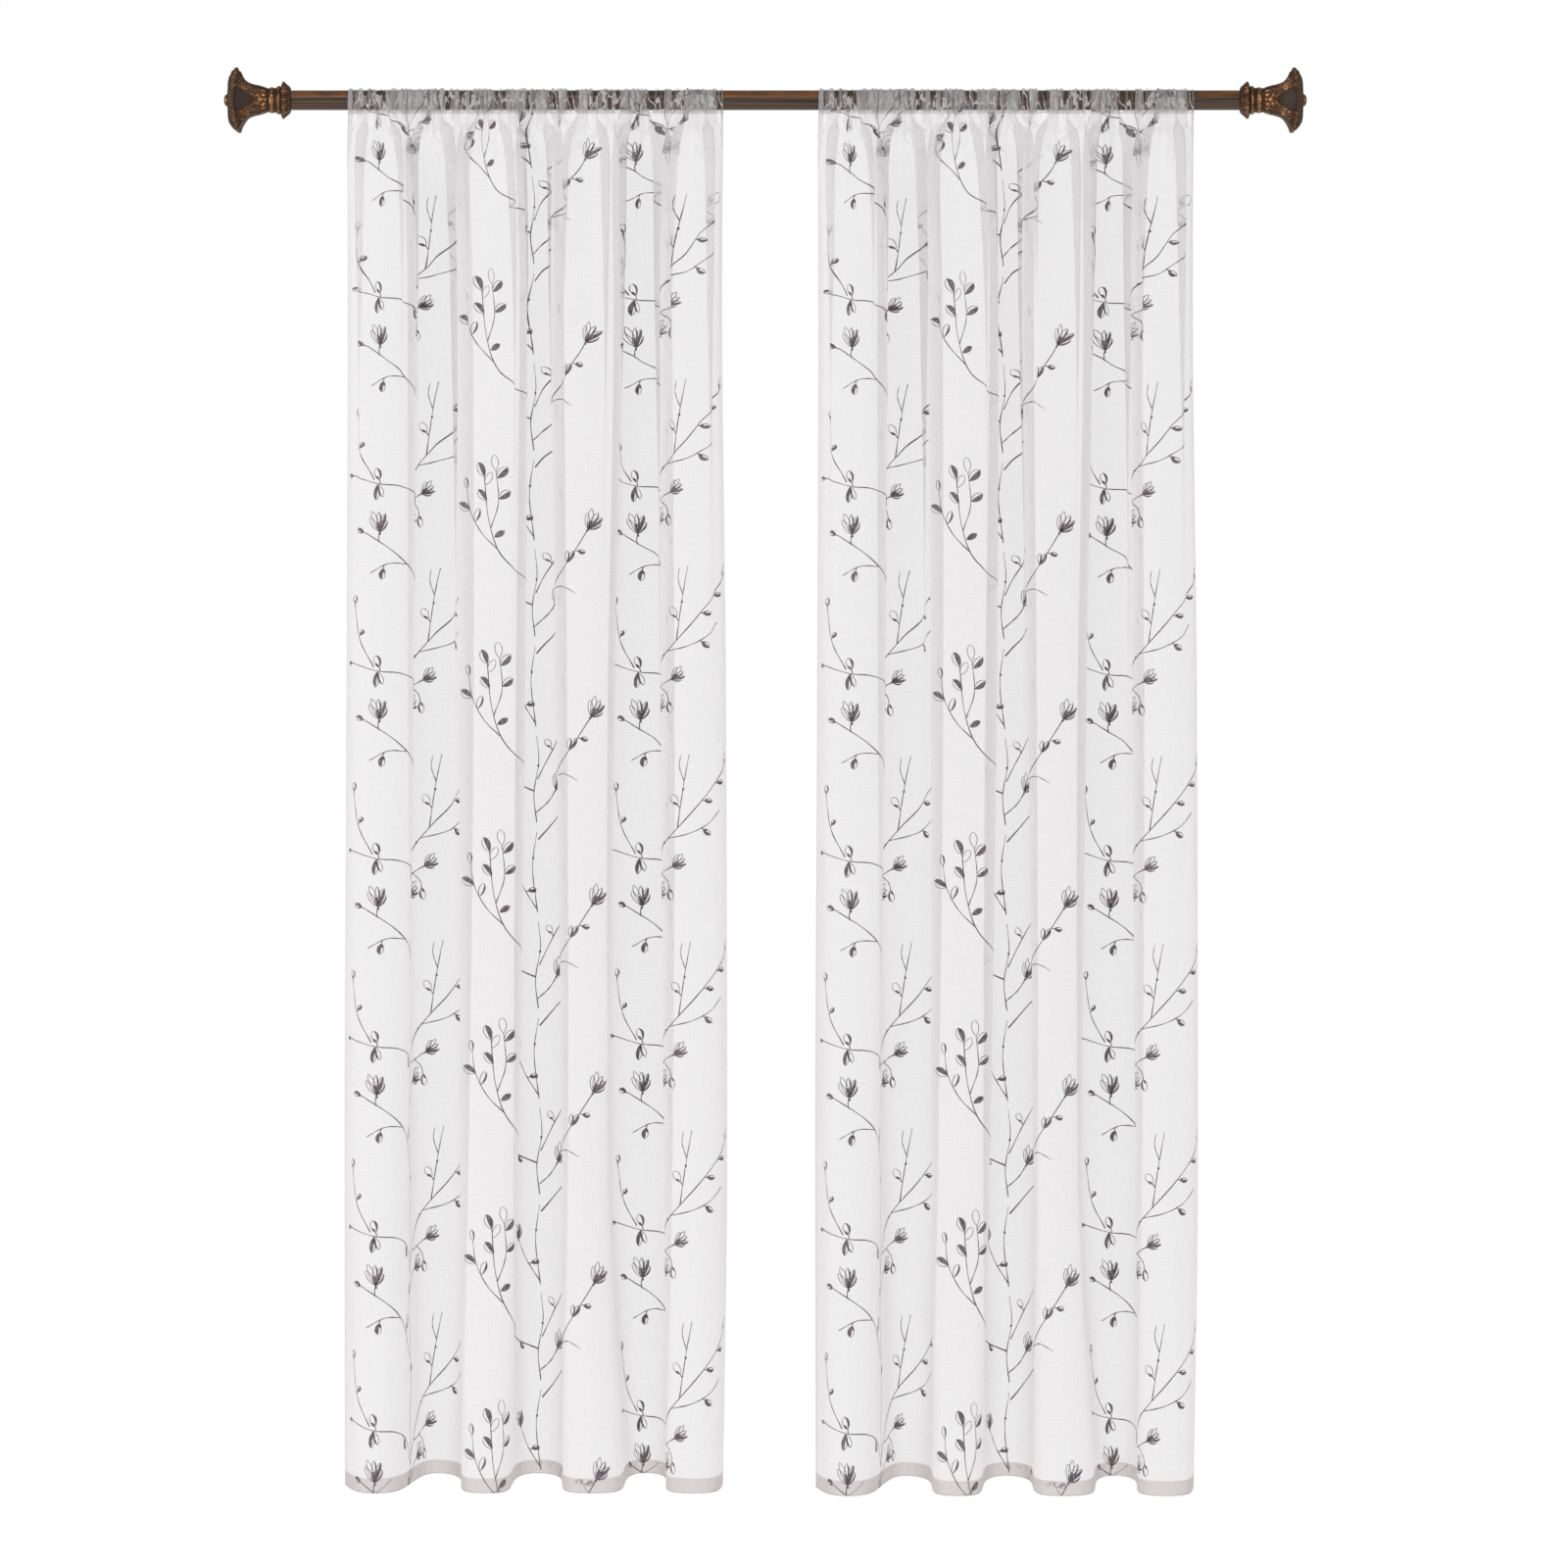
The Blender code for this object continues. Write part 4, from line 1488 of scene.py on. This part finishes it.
@dataclass(frozen=True)
class BranchPrint:
    """The print: two blossoming branches that climb the cloth in turn, column beside column."""

    repeat: float = 283 * MM
    column_step: float = 490 * MM
    first_column: float = 190 * MM
    climbing_first_up: float = -193 * MM
    spray_first_up: float = -141 * MM
    rows: int = 10
    stand_off: float = 0.3 * MM
    stem_mm: float = 2.1
    twig_mm: float = 1.55

    def climbing_branch(self) -> InkDrawing:
        """Draw the branch of the outer columns: twigs to each side, a blossom on its upper left."""
        ink = InkDrawing()
        ink.stem([(0, 0), (6, 58), (1, 118), (-5, 176), (3, 232), (0, 283)], self.twig_mm)
        for at, degrees in (((6, 58), 92), ((-5, 176), 95), ((2, 250), 84)):
            ink.knot(at, degrees)
        ink.bud((5, 70), 74, 13)
        ink.bud((-5, 186), 108, 15, Petal.SHADED)
        # Upper left: the blossom, a hanging bud and a half-open one
        ink.stem([(-3, 96), (-34, 140), (-72, 176), (-118, 206)], self.stem_mm, 1.3)
        ink.stem([(-98, 192), (-99, 200), (-97, 208)], 1.6)
        ink.blossom((-97, 208), 96, 34)
        ink.bud((-118, 206), 156, 13)
        ink.stem([(-54, 160), (-84, 160), (-112, 146)], self.twig_mm, 1.1)
        ink.bud((-90, 158), -104, 17)
        ink.bud((-28, 133), 72, 23, Petal.SHADED)
        # Lower left: a bowed twig with a cluster of leaves and a thin upright one
        ink.stem([(2, -62), (-22, -24), (-62, -6), (-100, -2), (-140, 10)], self.stem_mm, 1.1)
        ink.bud((-36, -16), -64, 17)
        ink.bud((-96, -2), 104, 19, Petal.SHADED)
        ink.leaf_pair((-100, -3), -84, 24)
        ink.bud((-140, 10), 178, 10)
        ink.stem([(-106, 4), (-128, 46), (-137, 96)], self.twig_mm, 0.9)
        ink.bud((-129, 50), 52, 10)
        ink.bud((-137, 96), 86, 13, Petal.SHADED)
        # Right: a long forked twig, and under it a short one with a small blossom
        ink.stem([(2, -50), (36, -4), (82, 44), (120, 86), (158, 136)], self.stem_mm, 1.2)
        ink.stem([(82, 44), (88, 84), (94, 120), (101, 156)], self.twig_mm, 1.0)
        ink.stem([(93, 114), (86, 136), (88, 154)], 1.4, 0.9)
        ink.stem([(66, 28), (100, 36), (128, 50), (148, 72)], self.twig_mm, 1.0)
        ink.knot((58, 20), 48)
        ink.knot((91, 100), 80)
        ink.bud((86, 74), 122, 19, Petal.OUTLINE)
        ink.bud((120, 86), -6, 12)
        ink.bud((140, 112), 8, 12)
        ink.bud((118, 45), -40, 14)
        ink.bud((158, 136), 62, 20, Petal.OUTLINE)
        ink.stem([(16, -30), (46, -26), (74, -14)], self.twig_mm, 1.3)
        ink.blossom((74, -14), 34, 25)
        ink.stem([(50, -25), (64, -34), (68, -42)], 1.4)
        ink.bud((68, -42), -84, 18, Petal.SHADED)
        ink.stem([(3, 198), (20, 218), (38, 226)], self.twig_mm)
        ink.blossom((38, 226), 28, 29)
        return ink

    def branching_spray(self) -> InkDrawing:
        """Draw the branch of the middle column: a leafy spray on the left, a long twig on the right."""
        ink = InkDrawing()
        ink.stem([(0, 0), (-4, 44), (4, 92), (1, 132)], self.twig_mm, 0.9)
        ink.stem([(0, 146), (-7, 214), (0, 268)], self.twig_mm, 0.9)
        for at, degrees in (((3, 84), 85), ((-3, 176), 96), ((-6, 226), 88)):
            ink.knot(at, degrees)
        # Left: the spray of broad leaves
        ink.stem([(-4, 48), (-66, 72), (-126, 88), (-166, 122), (-184, 174), (-190, 239)], self.stem_mm, 1.2)
        ink.stem([(-170, 129), (-196, 155), (-214, 189), (-219, 222)], self.twig_mm, 1.0)
        ink.stem([(-181, 162), (-168, 201), (-171, 249)], self.twig_mm, 1.0)
        for at, degrees, length, width, style in (
            ((-219, 222), 98, 17, 7, Petal.SHADED),
            ((-214, 189), 152, 23, 12, Petal.HALF),
            ((-206, 172), 70, 21, 9, Petal.SHADED),
            ((-190, 239), 112, 24, 12, Petal.HALF),
            ((-189, 227), 60, 22, 10, Petal.OUTLINE),
            ((-187, 203), 128, 22, 11, Petal.HALF),
            ((-171, 249), 96, 24, 11, Petal.OUTLINE),
            ((-170, 237), 46, 23, 12, Petal.HALF),
            ((-168, 206), 34, 21, 11, Petal.HALF),
            ((-176, 148), 30, 19, 9, Petal.FILLED),
        ):
            ink.blade(at, degrees, length, width, style)
        ink.bud((-66, 72), 84, 17, Petal.SHADED)
        ink.bud((-40, 62), -48, 13)
        # Middle: two blossoms and thin twigs
        ink.stem([(-2, 14), (16, 30), (30, 50)], self.twig_mm)
        ink.blossom((30, 50), 66, 30, Petal.FILLED)
        ink.stem([(0, 150), (-22, 184), (-38, 216)], self.twig_mm, 1.1)
        ink.blossom((-38, 216), 108, 27)
        ink.bud((-18, 178), 12, 13)
        ink.stem([(2, 66), (28, 116), (60, 158), (94, 206)], self.twig_mm, 1.0)
        ink.bud((24, 110), 118, 15, Petal.OUTLINE)
        ink.bud((60, 158), -10, 12)
        ink.leaf_pair((94, 206), 78, 17)
        # Right: the long twig that ends in a blossom
        ink.stem([(2, -26), (40, 14), (90, 44), (138, 70), (172, 110), (206, 160)], self.stem_mm, 1.3)
        ink.blossom((206, 160), 62, 32)
        ink.leaf_pair((172, 110), 70, 21)
        ink.bud((112, 46), 98, 20, Petal.SHADED)
        ink.bud((186, 128), -12, 12)
        ink.stem([(138, 68), (162, 74), (184, 64)], self.twig_mm, 0.9)
        ink.bud((56, 25), -40, 14)
        return ink

    def build(self, cloth: HungCloth, tree: ClothRepeat, finish: Material) -> Piece:
        """Print one panel.

        Args:
            cloth: The panel's hung cloth.
            tree: The tree that lays flat pieces on cloth.
            finish: The ink's material.

        Returns:
            The printed shapes, as one thin skin on the cloth's face.
        """
        start = cloth.side_start + self.first_column
        outer = FlatRepeat(
            start, cloth.hem_edge + self.climbing_first_up, 2 * self.column_step, self.repeat, 2, self.rows
        )
        inner = FlatRepeat(
            start + self.column_step, cloth.hem_edge + self.spray_first_up, 0.0, self.repeat, 1, self.rows
        )
        laid = [tree.lay(drawing.object("flat_motif"), cloth, repeat, self.stand_off, finish)
                for drawing, repeat in ((self.climbing_branch(), outer), (self.branching_spray(), inner))]
        return joined(f"{cloth.panel.name}_print", laid, finish)


@dataclass(frozen=True)
class HemStitches:
    """Straight machine stitches along both side hems, the bottom hem and the pocket's seam."""

    pitch: float = 3.6 * MM
    length: float = 2.6 * MM
    # Real thread is 0.3 mm thick; it is drawn a little fuller so that it shows close up
    thickness: float = 0.45 * MM
    inset: float = 1.6 * MM

    def stitch(self, upright: bool) -> Piece:
        """Make one stitch as a low six-sided bead on the flat cloth, along the seam.

        Args:
            upright: Whether the seam runs up the cloth.

        Returns:
            The stitch.
        """
        half = self.length / 2
        wide = self.thickness / 2
        points = np.array([
            (-half, 0, 0), (-0.6 * half, -wide, 0), (0.6 * half, -wide, 0), (half, 0, 0),
            (0.6 * half, wide, 0), (-0.6 * half, wide, 0),
            (-0.5 * half, 0, self.thickness), (0.5 * half, 0, self.thickness),
        ])
        if upright:
            points = points[:, [1, 0, 2]] * np.array([-1.0, 1.0, 1.0])
        faces = [(0, 1, 6), (1, 2, 7, 6), (2, 3, 7), (3, 4, 7), (4, 5, 6, 7), (5, 0, 6)]
        return mesh_object("flat_stitch", points, faces)

    def build(self, cloth: HungCloth, tree: ClothRepeat, finish: Material) -> Piece:
        """Sew one panel.

        Args:
            cloth: The panel's hung cloth.
            tree: The tree that lays flat pieces on cloth.
            finish: The thread's material.

        Returns:
            All the panel's stitches as one piece.
        """
        panel, start, edge = cloth.panel, cloth.side_start, cloth.hem_edge
        seam = edge + (panel.hem_drop - panel.seam_drop) * MM - self.inset
        hem = edge + panel.hem_turn * MM - self.inset
        side = panel.side_turn * MM - self.inset
        across = int(panel.width / self.pitch)
        up = int((seam - edge) / self.pitch)
        rows = (
            (False, FlatRepeat(start, hem, self.pitch, 0.0, across, 1)),
            (False, FlatRepeat(start, seam, self.pitch, 0.0, across, 1)),
            (True, FlatRepeat(start + side, edge, panel.width - 2 * side, self.pitch, 2, up)),
        )
        laid = [tree.lay(self.stitch(upright), cloth, repeat, 0.0, finish) for upright, repeat in rows]
        return joined(f"{panel.name}_stitches", laid, finish)


@dataclass(frozen=True)
class Studio:
    """A white studio: an even room, three soft lights, what metal mirrors, and the camera."""

    camera_distance: float = 16.0
    camera_x: float = 28.2 * MM
    camera_z: float = -1036 * MM
    frame_width: float = 2.376
    sensor_mm: float = 36.0
    floor_drop: float = 2.32
    floor_size: float = 14.0
    room_light: float = 0.64
    mirrored_light: float = 0.22
    side_light: float = 2.4
    aim: tuple[float, float, float] = (0.0, 0.0, -0.3)

    def build(self) -> None:
        """Set up the camera, the room's light and the floor."""
        camera = bpy.data.cameras.new("camera")
        camera.sensor_width = self.sensor_mm
        camera.lens = self.sensor_mm * self.camera_distance / self.frame_width
        camera.clip_end = 100.0
        holder = linked("camera", camera)
        holder.location = (self.camera_x, -self.camera_distance, self.camera_z)
        holder.rotation_euler = (math.pi / 2, 0.0, 0.0)
        bpy.context.scene.camera = holder
        bpy.context.scene.view_settings.view_transform = "Standard"
        self.light_room()
        self.add_light("top_light", (-0.6, -2.6, 2.2), (1.2, 0.3), 12.0)
        self.add_light("left_key", (-4.2, -2.0, -0.2), (1.2, 2.4), 60.0)
        self.add_light("right_rim", (2.6, -2.4, 0.2), (0.15, 0.9), 4.0)
        self.lay_floor()

    def light_room(self) -> None:
        """Light the room evenly, with a plain white ground behind the part."""
        world = bpy.data.worlds.new("white_room")
        world.use_nodes = True
        bpy.context.scene.world = world
        world.node_tree.nodes.clear()
        tree = Tree(world.node_tree)
        seen, light, mirrored = (
            tree.add("ShaderNodeBackground", {"Color": (1, 1, 1, 1), "Strength": strength}).outputs[0]
            for strength in (1.0, self.room_light, self.mirrored_strength(tree))
        )
        path = tree.add("ShaderNodeLightPath").outputs
        lit = tree.blend(path["Is Glossy Ray"], light, mirrored)
        both = tree.blend(path["Is Camera Ray"], lit, seen)
        tree.add("ShaderNodeOutputWorld", {0: both})

    def mirrored_strength(self, tree: Tree) -> Socket:
        """What metal mirrors: a dim room, lighter overhead, with a low broad light to each side in front.

        Args:
            tree: The world's tree.

        Returns:
            The strength in each direction.
        """
        way = tree.add("ShaderNodeTexCoord").outputs["Generated"]
        aside, ahead, up = tree.add("ShaderNodeSeparateXYZ", {0: way}).outputs
        strength = tree.ranged(ahead, -0.3, 0.0, self.side_light, 0.0)
        for value, edge in ((aside, (0.2, 0.5, 0.0, 1.0)), (up, (0.3, 0.65, 1.0, 0.0))):
            strength = tree.maths("MULTIPLY", strength, tree.ranged(tree.maths("ABSOLUTE", value), *edge))
        room = tree.ranged(up, -0.2, 0.9, self.mirrored_light, 2.2 * self.mirrored_light)
        return tree.maths("ADD", strength, room)

    def add_light(
        self, name: str, place: tuple[float, float, float], size: Pair, watts: float
    ) -> None:
        """Add a soft light that faces the upper part of the curtains.

        Args:
            name: The light's name.
            place: Where it stands.
            size: Its width and height.
            watts: Its power.
        """
        light = bpy.data.lights.new(name, "AREA")
        light.shape = "RECTANGLE"
        light.size, light.size_y = size
        light.energy = watts
        holder = linked(name, light)
        holder.location = place
        x, y, z = np.array(self.aim) - np.array(place)
        holder.rotation_euler = (math.atan2(math.hypot(x, y), -z), 0.0, math.atan2(y, x) - math.pi / 2)

    def lay_floor(self) -> None:
        """Lay a plain white floor that glows as bright as the ground behind it."""
        material, tree = new_material("white_floor")
        tree.show(tree.add("ShaderNodeEmission", {"Color": (1, 1, 1, 1), "Strength": 1.0}).outputs[0])
        half = self.floor_size / 2
        signs = np.array([(-1, -1, 0), (1, -1, 0), (1, 1, 0), (-1, 1, 0)], dtype=float)
        corners = signs * half - np.array([0, 0, self.floor_drop])
        mesh_object("floor", corners, [(0, 1, 2, 3)], material)


def build_panel(
    panel: VoilePanel, voile: Material, ink: Material, thread: Material, tree: ClothRepeat
) -> None:
    """Hang one panel, print it, sew it and tie its pieces to the part.

    Args:
        panel: The panel's sizes.
        voile: The cloth's material.
        ink: The print's material.
        thread: The stitches' material.
        tree: The tree that lays flat pieces on cloth.
    """
    cloth = panel.build(voile)
    printed = BranchPrint().build(cloth, tree, ink)
    sewn = HemStitches().build(cloth, tree, thread)
    settle(cloth.piece, Slot.VOILE, panel.name)
    settle(printed, Slot.VOILE)
    settle(sewn, Slot.VOILE)


def main() -> None:
    """Build the studio, the rod, the finials and the two panels."""
    logging.basicConfig(level=logging.INFO, format="%(name)s: %(message)s")
    Studio().build()
    Rod().build(RodBronze().material())
    carved = FinialBronze().material()
    for side in Side:
        Finial(side).build(carved)
    tree = ClothRepeat()
    voile, ink, thread = SheerVoile().material(), PrintInk().material(), SewingThread().material()
    for panel in (VoilePanel("panel_left", -634 * MM, 6.0), VoilePanel("panel_right", 79 * MM, 10.0)):
        build_panel(panel, voile, ink, thread, tree)


if __name__ == "__main__":
    main()
